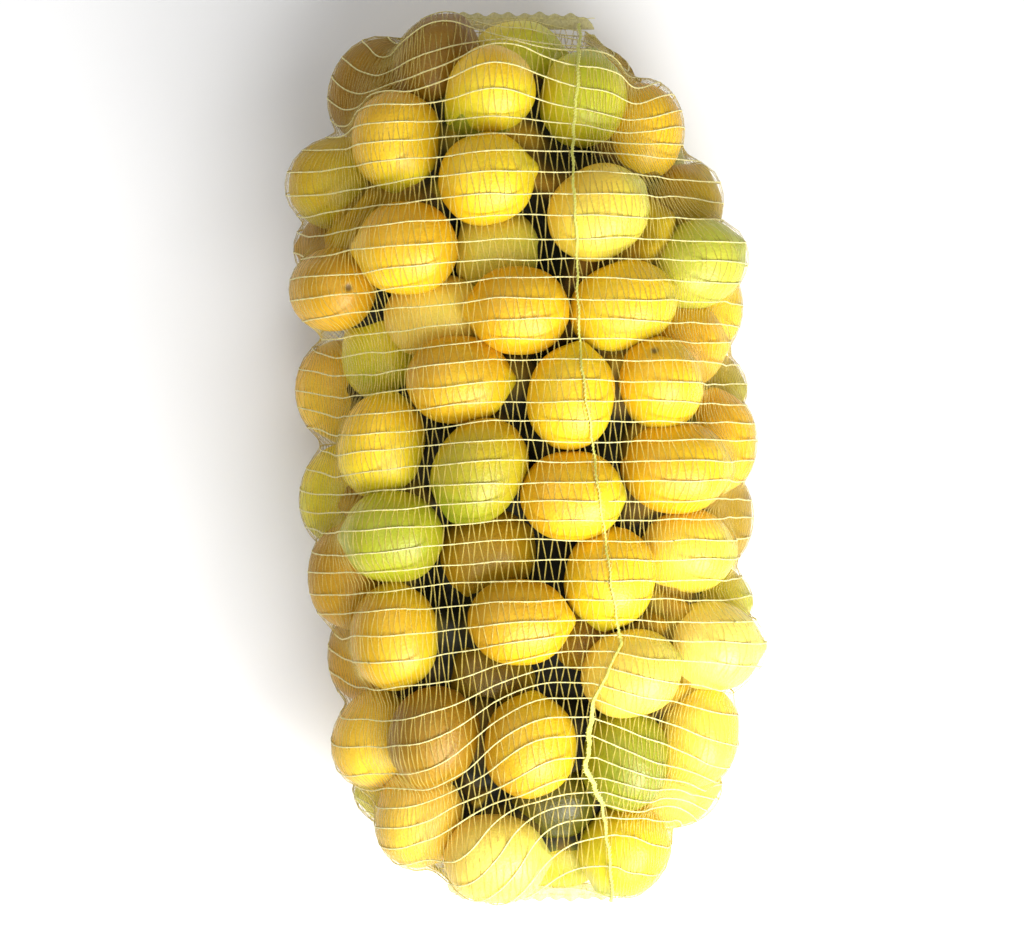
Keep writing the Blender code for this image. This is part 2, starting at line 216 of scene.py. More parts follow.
def fill_sack():
    """Lay the upper lemons, pour in the others, and return them all before they settle."""
    pour = np.random.RandomState(POUR_SEED)
    radii = LEMON_RADIUS * (1.0 + LEMON_VARIATION * pour.uniform(-1, 1, LEMON_COUNT))
    half_lengths = LEMON_HALF_LENGTH * (1.0 + LEMON_VARIATION * pour.uniform(-1, 1, LEMON_COUNT))
    middles = np.empty((LEMON_COUNT, 3))
    axes = pour.normal(size=(LEMON_COUNT, 3))
    for index, (x, y, turn, rise, sunk, *_) in enumerate(UPPER_LEMONS):
        middles[index] = (x, y, crown_height(x, y, radii[index]) - sunk)
        axes[index] = long_axis(turn, rise)
    poured = slice(len(UPPER_LEMONS), LEMON_COUNT)
    count = LEMON_COUNT - len(UPPER_LEMONS)
    middles[poured, 0] = pour.uniform(-POUR_WIDTH, POUR_WIDTH, count) * SACK_WIDTH / 2
    middles[poured, 1] = pour.uniform(-POUR_LENGTH, POUR_LENGTH, count) * SACK_LENGTH / 2
    middles[poured, 2] = pour.uniform(*POUR_LEVELS, count) * SACK_THICKNESS
    axes[poured, 2] *= POURED_RISE
    axes /= np.linalg.norm(axes, axis=1, keepdims=True)
    return Lemons(middles, axes, radii, half_lengths, np.arange(LEMON_COUNT) < len(UPPER_LEMONS))


# %% Push the lemons apart until the sack is packed
TIP_SHIFT = 0.40
TIP_SIZE = 0.80
SETTLE_ROUNDS = 400
SINKING = 0.0004
LOOSE_BELOW = 0.40
LAID_WEIGHT = 0.35
LAID_GRIP = (0.25, 0.25, 0.02)
LIP_ROOM = 0.010
SKIN_ROOM = 0.001
LIP_LEVELS = (0.6, 0.2)  # below the first share of the height, the sewn end's room grows over the second
END_EASE = 0.985
LEAST_TAPER = 0.05
PUSH_SHARE = 0.5
PULL_BACK = 0.6


def keep_inside(points, radii):
    """Move balls that stick out of the sack back in, onto the floor or under the skin."""
    low = (SACK_THICKNESS * LIP_LEVELS[0] - points[:, 2]) / (SACK_THICKNESS * LIP_LEVELS[1])
    y_limit = SACK_LENGTH / 2 - radii - LIP_ROOM * np.clip(low, 0.0, 1.0)
    points[:, 1] = np.clip(points[:, 1], -y_limit, y_limit)
    taper = np.maximum(end_taper(points[:, 1] * END_EASE, radii), LEAST_TAPER)
    half_width = (SACK_WIDTH / 2 - radii) * taper
    half_height = (SACK_THICKNESS / 2 - radii) * taper**HEIGHT_TAPER
    across = (points[:, 0] - spine_x(points[:, 1])) / half_width
    upward = (points[:, 2] - SACK_THICKNESS / 2) / half_height
    power = np.where(upward > 0, TOP_CROWN, BELLY_CROWN)
    fill = (np.abs(across) ** power + np.abs(upward) ** power) ** (1.0 / power)
    squeeze = 1.0 / np.maximum(fill, 1.0)
    points[:, 0] = across * squeeze * half_width + spine_x(points[:, 1])
    points[:, 2] = upward * squeeze * half_height + SACK_THICKNESS / 2
    points[:, 2] = np.maximum(points[:, 2], radii + SKIN_ROOM)
    return points


def settle(lemons):
    """Push overlapping lemons apart, while the laid ones hold on to their places."""
    ball_shift = np.array([-TIP_SHIFT, 0.0, TIP_SHIFT])
    ball_size = np.array([TIP_SIZE, 1.0, TIP_SIZE])
    count = len(lemons.radii)
    offsets = lemons.axes[:, None, :] * lemons.half_lengths[:, None, None] * ball_shift[None, :, None]
    radii = (lemons.radii[:, None] * ball_size[None, :]).ravel()
    owner = np.repeat(np.arange(count), 3)
    contact = radii[:, None] + radii[None, :]
    others = owner[:, None] != owner[None, :]
    home = lemons.middles.copy()
    weight = np.where(lemons.laid, LAID_WEIGHT, 1.0)
    laid = lemons.laid
    poured = ~laid
    skin_room = lemons.radii[:, None] + SKIN_ROOM
    highest = np.array([SACK_WIDTH / 2, SACK_LENGTH / 2, SACK_THICKNESS]) - skin_room
    lowest = np.array([-SACK_WIDTH / 2, -SACK_LENGTH / 2, 0.0]) + skin_room
    for _ in range(SETTLE_ROUNDS):
        balls = (lemons.middles[:, None, :] + offsets).reshape(-1, 3)
        gap = balls[:, None, :] - balls[None, :, :]
        distance = np.linalg.norm(gap, axis=2) + 1e-9
        overlap = np.where(others, np.maximum(contact - distance, 0.0), 0.0)
        share = weight[owner][:, None] / (weight[owner][:, None] + weight[owner][None, :])
        push = (gap / distance[:, :, None] * (overlap * share)[:, :, None]).sum(axis=1)
        touching = np.maximum((overlap > 0).sum(axis=1), 1)[:, None]
        push = push / touching**0.5
        lemons.middles += push.reshape(count, 3, 3).sum(axis=1) * PUSH_SHARE
        lemons.middles[laid] += ((home - lemons.middles) * LAID_GRIP)[laid]
        lemons.middles[laid, 2] = np.minimum(lemons.middles, home)[laid, 2]
        lemons.middles[poured, 2] -= SINKING
        balls = (lemons.middles[:, None, :] + offsets).reshape(-1, 3)
        inside = keep_inside(balls.copy(), radii)
        loose = poured | (lemons.middles[:, 2] < LOOSE_BELOW * SACK_THICKNESS)
        lemons.middles[loose] += (inside - balls).reshape(count, 3, 3).sum(axis=1)[loose] * PULL_BACK
        lemons.middles = np.clip(lemons.middles, lowest, highest)
    return lemons


lemons = settle(fill_sack())
print("packed", len(lemons.radii), "lemons, the highest", round(float(lemons.middles[:, 2].max()), 4), "m up")

# %% [markdown]
# ## The surface that the net lies in
#
# A net that is pulled tight touches each lemon's crown and spans the gaps in between, like a soap film on
# a handful of marbles. A Shrinkwrap modifier would press it into every gap, and a cloth simulation of a
# sack this full takes minutes. A third way is quick and exact. We keep a small flat sheet inside the sack
# and let a ray stand on each of its points. The rays run round the sack in one direction and along it in the
# other. On each ray we know how far out the last lemon reaches. The net's height on the ray is the mean of
# its neighbours' heights, and never less than that reach. We repeat this until it stops moving.
#
# We draw the net in on a coarse grid first and then on a fine one, because a coarse grid settles quickly
# and a fine one then only has to follow the lemons.

# %% The sheet inside the sack, and its rays
SHEET_HALF_WIDTH = 0.055
SHEET_INSET = 0.095
END_DROP = 0.022
END_NARROWING = 0.62
LOOP = 4 * SHEET_HALF_WIDTH + 2 * math.pi * SHEET_INSET
STRAIGHT = SACK_LENGTH / 2 - SHEET_INSET
HALF_RUN = STRAIGHT + SHEET_INSET * math.pi / 2


def sheet_spot(around, along):
    """Where a ray starts and which way it points, at (around, along).

    around runs in metres round the sack from the middle of its upper side, towards +X first. along runs
    from -1 at one sewn end to 1 at the other, and its last stretches turn over the ends.
    """
    flat = 2 * SHEET_HALF_WIDTH
    bend = math.pi * SHEET_INSET
    place = (around + SHEET_HALF_WIDTH) % LOOP
    stretches = [place < flat, place < flat + bend, place < 2 * flat + bend]
    right_turn = (place - flat) / SHEET_INSET
    left_turn = (place - 2 * flat - bend) / SHEET_INSET
    up = math.pi / 2
    angle = np.select(stretches, [up, up - right_turn, -up], -up - left_turn)
    belly_x = 1.5 * flat + bend - place
    across = np.select(stretches, [place - flat / 2, flat / 2, belly_x], -flat / 2)
    straight_share = STRAIGHT / HALF_RUN
    over_end = np.clip((np.abs(along) - straight_share) / (1 - straight_share), 0.0, 1.0)
    tilt = np.sign(along) * over_end * math.pi / 2
    spot_y = np.clip(along / straight_share, -1, 1) * STRAIGHT
    narrow = END_NARROWING + (1 - END_NARROWING) * end_taper(spot_y)
    spot_x = across * narrow + spine_x(spot_y)
    spot_z = SACK_THICKNESS / 2 - END_DROP * over_end**2
    spots = np.stack((spot_x, spot_y, spot_z), axis=-1)
    level = np.cos(tilt)
    ways = np.stack((level * np.cos(angle), np.sin(tilt), level * np.sin(angle)), axis=-1)
    return spots, ways


def grid_of_rays(columns, rows):
    """All the rays of a grid with this many columns round the sack and rows along it."""
    around = np.linspace(0, LOOP, columns, endpoint=False)
    along = np.linspace(-1, 1, rows)
    return sheet_spot(*np.meshgrid(around, along))


print("once round", round(LOOP, 3), "m, end to end over the top", round(2 * HALF_RUN, 3), "m")

# %% Draw the net in over the lemons
NET_CLEARANCE = 0.0008
COARSE_GRID = (72, 60)
FINE_GRID = (288, 240)
COARSE_ROUNDS = 260
FINE_ROUNDS = 220
NET_SAG = 0.00003
START_HEIGHT = 1.35
CHAIN_PULL = 0.85  # the chains run round the sack and pull harder than the tapes between them


def pass_lemon(spots, ways, heap, index, clearance=0.0):
    """Where each ray passes a lemon: nearest to its middle, out of its rind, and how wide of its middle."""
    radius = heap.radii[index] + clearance
    half_length = heap.half_lengths[index] + clearance
    start = spots - heap.middles[index]
    stretch = 1 / half_length**2 - 1 / radius**2
    start_along = start @ heap.axes[index]
    way_along = ways @ heap.axes[index]
    square = (ways * ways).sum(-1) / radius**2 + stretch * way_along**2
    cross = (start * ways).sum(-1) / radius**2 + stretch * start_along * way_along
    wide = (start * start).sum(-1) / radius**2 + stretch * start_along**2 - cross**2 / square
    nearest = -cross / square
    return nearest, nearest + np.sqrt(np.maximum(1 - wide, 0.0) / square), np.sqrt(np.maximum(wide, 0.0))


def lemon_reach(spots, ways, heap, clearance):
    """How far out each ray leaves the last lemon that it meets, or 0 where it meets none, and which it is."""
    reach = np.zeros(spots.shape[:-1])
    which = np.zeros(spots.shape[:-1], int)
    for index in range(len(heap.middles)):
        _, out_of_it, wide = pass_lemon(spots, ways, heap, index, clearance)
        further = (wide < 1) & (out_of_it > reach)
        reach = np.where(further, out_of_it, reach)
        which = np.where(further, index, which)
    return reach, which


def draw_in(spots, ways, height, rounds):
    """Let the net's heights shrink onto the lemons: to the neighbours' mean, or to a lemon."""
    reach, _ = lemon_reach(spots, ways, lemons, NET_CLEARANCE)
    height[[0, -1]] = reach[[0, -1]].max(axis=1, keepdims=True)
    for _ in range(rounds):
        skin = spots + ways * height[..., None]
        mean = (np.roll(skin, 1, axis=1) + np.roll(skin, -1, axis=1)) / 2
        mean[1:-1] = mean[1:-1] * CHAIN_PULL + (skin[2:] + skin[:-2]) / 2 * (1 - CHAIN_PULL)
        taut = ((mean - spots) * ways).sum(-1) - NET_SAG
        height[1:-1] = np.maximum(reach, taut)[1:-1]
    return height


def read_grid(values, around, along):
    """Read a grid of values between its points. The grid closes on itself round the sack."""
    rows, columns = values.shape[:2]
    column = np.asarray(around) / LOOP * columns
    row = np.clip((np.asarray(along) + 1) / 2 * (rows - 1), 0, rows - 1 - 1e-9)
    left = np.floor(column).astype(int)
    below = np.floor(row).astype(int)
    to_right = column - left
    to_above = row - below
    lower = values[below, left % columns] * (1 - to_right) + values[below, (left + 1) % columns] * to_right
    upper = values[below + 1, left % columns] * (1 - to_right)
    upper = upper + values[below + 1, (left + 1) % columns] * to_right
    return lower * (1 - to_above) + upper * to_above


loose_net = np.full(COARSE_GRID[::-1], SHEET_INSET * START_HEIGHT)
coarse = draw_in(*grid_of_rays(*COARSE_GRID), loose_net, COARSE_ROUNDS)
fine_around, fine_along = np.meshgrid(
    np.linspace(0, LOOP, FINE_GRID[0], endpoint=False), np.linspace(-1, 1, FINE_GRID[1])
)
fine_start = read_grid(coarse, fine_around, fine_along)
net_height = draw_in(*grid_of_rays(*FINE_GRID), fine_start, FINE_ROUNDS)
print("the net stands", round(net_height.min(), 3), "to", round(net_height.max(), 3), "m off the sheet")

# %% [markdown]
# ## Onto the table, inside the box
#
# Everything so far was worked out round the sack's own middle line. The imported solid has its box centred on
# the origin, so we measure the box of our net and move all of it by the difference. One function then turns
# a place on the net, given as (around, along, lift), into a point in space. Each strand of the net is
# drawn with it, so none of them can miss the lemons or hang in the air.

# %% A place on the net as a point in space
FLOOR_ROOM = 0.0011


def net_middle():
    """The middle of the drawn-in net's own box, in x and y."""
    spots, ways = grid_of_rays(*FINE_GRID)
    skin = (spots + ways * net_height[..., None]).reshape(-1, 3)
    return (skin.min(axis=0) + skin.max(axis=0)) / 2 * (1, 1, 0)


box_middle = (np.array(low_corner) + np.array(high_corner)) / 2 * (1, 1, 0)
shift = box_middle - net_middle()


def on_net(around, along, lift=0.0):
    """The point at this place on the net, lifted off it, and the way out of the sack there."""
    spots, ways = sheet_spot(around, along)
    height = read_grid(net_height, around, along) + lift
    points = spots + ways * height[..., None] + shift
    points[..., 2] = np.maximum(points[..., 2], FLOOR_ROOM)
    return points, ways


print("moved by", [round(float(step) * 1000, 1) for step in shift], "mm")

# %% [markdown]
# ## One helper for every piece
#
# A piece is a mesh made from arrays of points and faces. It is shaded smooth, gets its material, and rides on
# the sack's one body. Numbers for each point, such as how ripe the rind is there, go along as attributes,
# which the material reads later. Three small helpers for materials come with it: one adds a shader node, one
# sets inputs by name, and one starts a material.

# %% Make a piece from arrays


def make_piece(name, points, faces, material, attributes=None):
    """A smooth mesh object from arrays, which rides on the sack."""
    mesh = bpy.data.meshes.new(name)
    mesh.from_pydata(points.reshape(-1, 3), [], faces)
    for key, values in (attributes or {}).items():
        attribute = mesh.attributes.new(key, "FLOAT", "POINT")
        attribute.data.foreach_set("value", values.ravel().astype(np.float32))
    mesh.materials.append(material)
    mesh.shade_smooth()
    piece = bpy.data.objects.new(name, mesh)
    bpy.context.scene.collection.objects.link(piece)
    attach(piece, "root")
    print(name, len(mesh.vertices), "points,", sum(len(face) - 2 for face in faces), "triangles")
    return piece


def add_node(tree, kind, settings=None, **values):
    """Add a shader node, set its own settings, and give or link its inputs by name."""
    node = tree.nodes.new(kind)
    for key, value in (settings or {}).items():
        setattr(node, key, value)
    for key, value in values.items():
        socket = node.inputs[int(key[1:])] if key[0] == "i" and key[1:].isdigit() else node.inputs[key]
        if isinstance(value, bpy.types.NodeSocket):
            tree.links.new(value, socket)
        else:
            socket.default_value = value
    return node


def set_inputs(node, values):
    """Set several inputs of a node by name."""
    for key, value in values.items():
        node.inputs[key].default_value = value


def new_material(name):
    """A material with its node tree, its main shader, and the place that its patterns start from."""
    material = bpy.data.materials.new(name)
    material.use_nodes = True
    tree = material.node_tree
    place = tree.nodes.new("ShaderNodeTexCoord").outputs["Object"]
    return material, tree, tree.nodes["Principled BSDF"], place


# %% [markdown]
# ## Lemon rind
#
# Rind is waxy and a little translucent, with oil glands that read as fine pores. No lemon has one colour: it
# drifts from yellow to gold over its side, stays green longest at its ends, and has dull brownish rubs. One
# image texture could show one lemon, but not a hundred different ones. So the colour is worked out in
# nodes. Each point carries its ripeness, a soft noise moves it up and down, and a colour ramp turns it into
# a colour. The ramp's darkest amber is partly painted shade. A second number then darkens the colour,
# partly for a rind gone dull and partly as painted shade on lemons that lie in shade. Below 0 it fades the
# colour to pale cream instead, which is painted light. The pores are a cell pattern, used as bump and as a
# slightly deeper colour. A thin coat of wax gives the highlights, and a touch of subsurface scattering keeps
# the shaded side warm.

# %% The rind's colours and its shader
# The darkest stops, deep amber to brown-gold, are partly painted shade: lemons that lie in shade take them.
RIND_RAMP = (
    (0.00, (0.32, 0.39, 0.014)),
    (0.26, (0.55, 0.55, 0.020)),
    (0.42, (0.80, 0.63, 0.017)),
    (0.52, (0.87, 0.575, 0.013)),
    (0.70, (0.76, 0.42, 0.009)),
    (1.00, (0.46, 0.225, 0.006)),
)
# Painted light: the pale cream that a rind fades to where its darkening number is below 0, on lemons in full
# light.
PAINTED_LIGHT_CREAM = (0.94, 0.86, 0.28, 1.0)
DRY_SCAR = (0.13, 0.085, 0.03, 1.0)
DULL_RUB = (0.45, 0.29, 0.05, 1.0)
DRIFT_SCALE = 38.0
DRIFT_STRENGTH = 0.55
SPECKLE_SCALE = 420.0
SPECKLE_STRENGTH = 0.16
PAINTED_LIGHT_GAIN = -1.5
MIX = {"data_type": "RGBA"}
DARKEN = {"data_type": "RGBA", "blend_type": "MULTIPLY"}


def ripe_colour(tree, place):
    """The rind's colour from each point's ripeness and darkening, and the soft noise that moves it.

    The darkening is partly painted shade, and below 0 it pales the rind as painted light.
    """
    ripe = add_node(tree, "ShaderNodeAttribute", {"attribute_name": "ripeness"}).outputs["Fac"]
    dull_and_shade = add_node(tree, "ShaderNodeAttribute", {"attribute_name": "dullness_and_shade"}).outputs["Fac"]
    drift = add_node(tree, "ShaderNodeTexNoise", Vector=place, Scale=DRIFT_SCALE, Detail=3.0, Roughness=0.55)
    speckle = add_node(tree, "ShaderNodeTexNoise", Vector=place, Scale=SPECKLE_SCALE, Detail=2.0)
    add = {"operation": "MULTIPLY_ADD"}
    moved = add_node(tree, "ShaderNodeMath", add, i0=drift.outputs["Fac"], i1=DRIFT_STRENGTH, i2=ripe)
    moved = moved.outputs[0]
    moved = add_node(tree, "ShaderNodeMath", add, i0=speckle.outputs["Fac"], i1=SPECKLE_STRENGTH, i2=moved)
    noise_middle = (DRIFT_STRENGTH + SPECKLE_STRENGTH) / 2
    limits = {"From Min": -1.0 + noise_middle, "From Max": 1.0 + noise_middle}
    place_on_ramp = add_node(tree, "ShaderNodeMapRange", Value=moved.outputs[0], **limits)
    ramp = add_node(tree, "ShaderNodeValToRGB", Fac=place_on_ramp.outputs["Result"])
    stops = ramp.color_ramp.elements
    for index, (position, colour) in enumerate(RIND_RAMP):
        stop = stops[index] if index < 2 else stops.new(position)
        stop.position = position
        stop.color = (*colour, 1.0)
    fade = {"operation": "MULTIPLY", "use_clamp": True}
    # Below 0 the number fades the colour towards pale cream, which is painted light.
    painted_light_share = add_node(tree, "ShaderNodeMath", fade, i0=dull_and_shade, i1=PAINTED_LIGHT_GAIN)
    painted_light_mixed = add_node(tree, "ShaderNodeMix", MIX, i0=painted_light_share.outputs[0], i6=ramp.outputs["Color"], i7=PAINTED_LIGHT_CREAM)
    # Above 0 the number darkens the colour: partly a rind gone dull, partly painted shade on lemons in shade.
    subtract = {"operation": "SUBTRACT", "use_clamp": True}
    keep = add_node(tree, "ShaderNodeMath", subtract, i0=1.0, i1=dull_and_shade)
    scale = {"operation": "SCALE"}
    toned = add_node(tree, "ShaderNodeVectorMath", scale, i0=painted_light_mixed.outputs[2], Scale=keep.outputs[0])
    return toned.outputs[0], drift.outputs["Fac"]


RUB_SCALE = 105.0
RUB_RANGE = {"From Min": 0.63, "From Max": 0.80, "To Max": 0.55}
PORE_SCALE = 620.0
PORE_RANGE = {"From Max": 0.55, "To Min": 0.90}
DENTS = {"Strength": 0.35, "Distance": 0.0025}
PITS = {"Strength": 0.55, "Distance": 0.0004}
WAX_RANGE = (-0.07, 0.16)
RIND_LOOK = {
    "Specular IOR Level": 0.42,
    "Coat Weight": 0.05,
    "Coat Roughness": 0.30,
    "Subsurface Weight": 0.12,
    "Subsurface Radius": (1.0, 0.5, 0.1),
    "Subsurface Scale": 0.004,
}


def rind_material(name, roughness):
    """Lemon rind with its rubs, pores and scars."""
    material, tree, shader, place = new_material(name)
    toned, drift = ripe_colour(tree, place)
    scar = add_node(tree, "ShaderNodeAttribute", {"attribute_name": "scar"}).outputs["Fac"]
    rub_noise = add_node(tree, "ShaderNodeTexNoise", Vector=place, Scale=RUB_SCALE, Detail=4.0, Roughness=0.7)
    rub = add_node(tree, "ShaderNodeMapRange", Value=rub_noise.outputs["Fac"], **RUB_RANGE)
    rubbed = add_node(tree, "ShaderNodeMix", MIX, i0=rub.outputs["Result"], i6=toned, i7=DULL_RUB)
    pores = add_node(tree, "ShaderNodeTexVoronoi", {"feature": "F1"}, Vector=place, Scale=PORE_SCALE)
    pore_shade = add_node(tree, "ShaderNodeMapRange", Value=pores.outputs["Distance"], **PORE_RANGE)
    pore_shade = pore_shade.outputs["Result"]
    pored = add_node(tree, "ShaderNodeMix", DARKEN, i0=1.0, i6=rubbed.outputs[2], i7=pore_shade)
    scarred = add_node(tree, "ShaderNodeMix", MIX, i0=scar, i6=pored.outputs[2], i7=DRY_SCAR)
    tree.links.new(scarred.outputs[2], shader.inputs["Base Color"])
    dents = add_node(tree, "ShaderNodeBump", Height=drift, **DENTS)
    pits = add_node(tree, "ShaderNodeBump", Height=pores.outputs["Distance"], **PITS)
    tree.links.new(dents.outputs["Normal"], pits.inputs["Normal"])
    tree.links.new(pits.outputs["Normal"], shader.inputs["Normal"])
    limits = {"To Min": roughness + WAX_RANGE[0], "To Max": roughness + WAX_RANGE[1]}
    wax = add_node(tree, "ShaderNodeMapRange", Value=rub_noise.outputs["Fac"], **limits)
    tree.links.new(wax.outputs["Result"], shader.inputs["Roughness"])
    set_inputs(shader, RIND_LOOK)
    return material


rinds = {
    "yellow_lemons": (rind_material("yellow_rind", 0.36), "yellow_rind"),
    "green_lemons": (rind_material("green_rind", 0.34), "green_rind"),
    "amber_lemons": (rind_material("amber_rind", 0.42), "amber_rind"),
}
print("rinds", sorted(rinds))

# %% [markdown]
# ## The shape of a lemon
#
# A lemon is an oval body with a nipple at the blossom end and, at the stem end, a low collar round a dimple
# where the stem broke off. A scaled sphere would give the body and neither end. We start from the sphere's
# rings all the same, closer together towards its ends where the detail is, and move them: the tip is pushed
# out, the collar too, the dimple in, and shallow furrows run up to the tip. Each lemon then gets its own soft
# lumps and a slight bend, so no two are alike.

# %% One lemon from a sphere's rings
RINGS = 30
SEGMENTS = 44
RING_CROWDING = 0.08  # how much closer together the rings get towards the ends
TIP_RADIUS = 0.0075
COLLAR_RADIUS = 0.0080
COLLAR_HEIGHT = 0.0014
DIMPLE_RADIUS = 0.0026
DIMPLE_DEPTH = 0.0022
FURROW_COUNT = 7
FURROW_DEPTH = 0.05
FURROW_PLACE = 0.93
FURROW_REACH = 0.09
SHOULDER = 2.45  # above 2, an oval's, the ends get blunter
TIP_SHARES = (0.06, 0.13)
LUMPS = (0.014, 0.010, 0.008)
SLIMMING = 0.015  # keeps the lumps from poking through the net
BEND = 0.0014
STEM_SCAR = 0.0034
TIP_SCAR = 0.0021
SCAR_FADE = 0.0012
SCAR_STRENGTH = 0.85


def lemon_rings(draw, radius, half_length, pointed):
    """The rings of one lemon along +X, tip at +X, and how scarred each of their points is."""
    step = np.linspace(0, 1, RINGS + 1)[:, None]
    turn = np.linspace(0, 2 * math.pi, SEGMENTS, endpoint=False)[None, :]
    polar = math.pi * (step - RING_CROWDING * np.sin(2 * math.pi * step))
    phase = draw.uniform(0, 2 * math.pi, 4)
    tip_length = half_length * draw.uniform(*TIP_SHARES) * pointed
    body = half_length - tip_length
    x = -np.cos(polar) * body
    ring = radius * np.sqrt(1 - np.abs(np.cos(polar)) ** SHOULDER)
    tipward = np.clip(x / body, 0, 1)
    stemward = np.clip(-x / body, 0, 1)
    tip = tip_length * np.exp(-((ring / (TIP_RADIUS * pointed)) ** 2)) * tipward
    collar = COLLAR_HEIGHT * np.exp(-((ring / COLLAR_RADIUS) ** 2)) * stemward
    dimple = DIMPLE_DEPTH * np.exp(-((ring / DIMPLE_RADIUS) ** 2)) * stemward
    lumps = LUMPS[0] * np.sin(2 * turn + phase[0])
    lumps = lumps + LUMPS[1] * np.sin(3 * turn + phase[1] + 2.4 * x / body)
    lumps = lumps + LUMPS[2] * np.sin(5 * x / body + phase[2]) * np.sin(turn + phase[3])
    furrowed = np.exp(-(((x / body - FURROW_PLACE) / FURROW_REACH) ** 2))
    furrows = FURROW_DEPTH * furrowed * np.cos(FURROW_COUNT * turn + phase[1])
    ring = ring * (1 + lumps - SLIMMING + furrows)
    x = x + tip - collar + dimple + 0 * turn
    bend = draw.uniform(-BEND, BEND) * (x / body) ** 2
    points = np.stack((x, ring * np.cos(turn) + bend, ring * np.sin(turn)), axis=-1)
    stem_scar = np.clip((STEM_SCAR - ring) / SCAR_FADE, 0, 1) * (stemward > 0.5)
    tip_scar = np.clip((TIP_SCAR - ring) / SCAR_FADE, 0, 1) * (tipward > 0.5)
    return points, np.maximum(stem_scar, tip_scar) * SCAR_STRENGTH


def ring_faces(rings, segments, first=0):
    """Quads between closed rings of points that follow each other along a shape, facing out of it."""
    ring, segment = np.meshgrid(np.arange(rings - 1), np.arange(segments), indexing="ij")
    here = first + ring * segments + segment
    beside = first + ring * segments + (segment + 1) % segments
    return np.stack((beside, beside + segments, here + segments, here), axis=-1).reshape(-1, 4).tolist()


def with_poles(values, inner):
    """The values of the inner rings in one row, between the means of the first and the last ring."""
    row = inner.reshape(-1, *values.shape[2:])
    return np.concatenate((values[:1].mean(axis=1), row, values[-1:].mean(axis=1)))


def closed_rings(rings, first=0):
    """Faces for rings of points with a single point before the first ring and one after the last."""
    count, segments = rings.shape[:2]
    faces = ring_faces(count, segments, first + 1)
    last_ring = first + 1 + (count - 1) * segments
    end = last_ring + segments
    for segment in range(segments):
        beside = (segment + 1) % segments
        faces.append([first, first + 1 + beside, first + 1 + segment])
        faces.append([end, last_ring + segment, last_ring + beside])
    return faces


print("one lemon has", (RINGS - 1) * SEGMENTS + 2, "points")

# %% [markdown]
# ## All the lemons, sorted by ripeness
#
# Each lemon could be an object of its own, but ninety-eight objects are slow to handle, and they share
# three finishes anyhow. So the lemons are sorted into three kinds, and each kind is one joined mesh. The
# rind's ripeness is stored for each point. It is greener towards the tip and a little riper at the stem. It
# is also made riper, so more golden, on the side turned away from the lamp and greener on the side towards
# it, which is painted shade.

# %% Build the three kinds of lemon
LOOKS_SEED = 5
GREEN_BELOW = -0.26
AMBER_ABOVE = 0.45
# Painted shade: the side of each lemon turned away from the lamp, to the upper left and down, is made riper
# and more golden.
AWAY_FROM_LAMP = np.array((-0.5, 0.75, -0.3))
SHADE_SIDE_RIPENING = 0.20
TIP_GREEN = 0.55
AWAY_FROM_LAMP_SPREAD = 0.35
GREEN_FROM = 0.45
GREEN_POWER = 1.5
GREEN_SPREAD = (0.2, 1.0)
STEM_GOLD = 0.14
HIDDEN_RIPENESS = (0.10, 0.30)  # mean and spread
# The lemons inside are darkened a little, partly as painted shade.
HIDDEN_DULLNESS_AND_SHADE = 0.1
LEMON_FLOOR = 0.0003


def lemon_in_place(draw, index, ripeness, dullness_and_shade, tip):
    """One lemon's points where it lies, with the ripeness, scar and darkening at each of them.

    The darkening is partly painted shade, and the ripeness is raised as painted shade on the side away from
    the lamp.
    """
    rings, scar = lemon_rings(draw, lemons.radii[index], lemons.half_lengths[index], abs(tip))
    axis = lemons.axes[index] * np.sign(tip)
    side = np.cross(axis, draw.normal(size=3))
    side /= np.linalg.norm(side)
    frame_of_lemon = np.array((axis, side, np.cross(axis, side)))
    share = rings[..., 0] / lemons.half_lengths[index]
    placed = rings @ frame_of_lemon
    # Painted shade: riper on the side away from the lamp, greener on the side towards it.
    shade_side = (placed @ (AWAY_FROM_LAMP + draw.normal(0, AWAY_FROM_LAMP_SPREAD, 3))) / lemons.radii[index]
    towards_tip = np.clip((share - GREEN_FROM) / (1 - GREEN_FROM), 0, 1) ** GREEN_POWER
    green = TIP_GREEN * tip**2 * draw.uniform(*GREEN_SPREAD) * towards_tip
    ripe = ripeness + SHADE_SIDE_RIPENING * shade_side - green + STEM_GOLD * np.clip(-share, 0, 1)
    points = placed + lemons.middles[index] + shift
    points[..., 2] = np.maximum(points[..., 2], LEMON_FLOOR)
    by_point = (points, ripe, scar, np.full(ripe.shape, dullness_and_shade))
    return [with_poles(values, values[1:-1]) for values in by_point], points[1:-1]


def kind_of(ripeness):
    """Which of the three kinds a lemon of this ripeness belongs to."""
    if ripeness < GREEN_BELOW:
        return "green_lemons"
    return "amber_lemons" if ripeness > AMBER_ABOVE else "yellow_lemons"


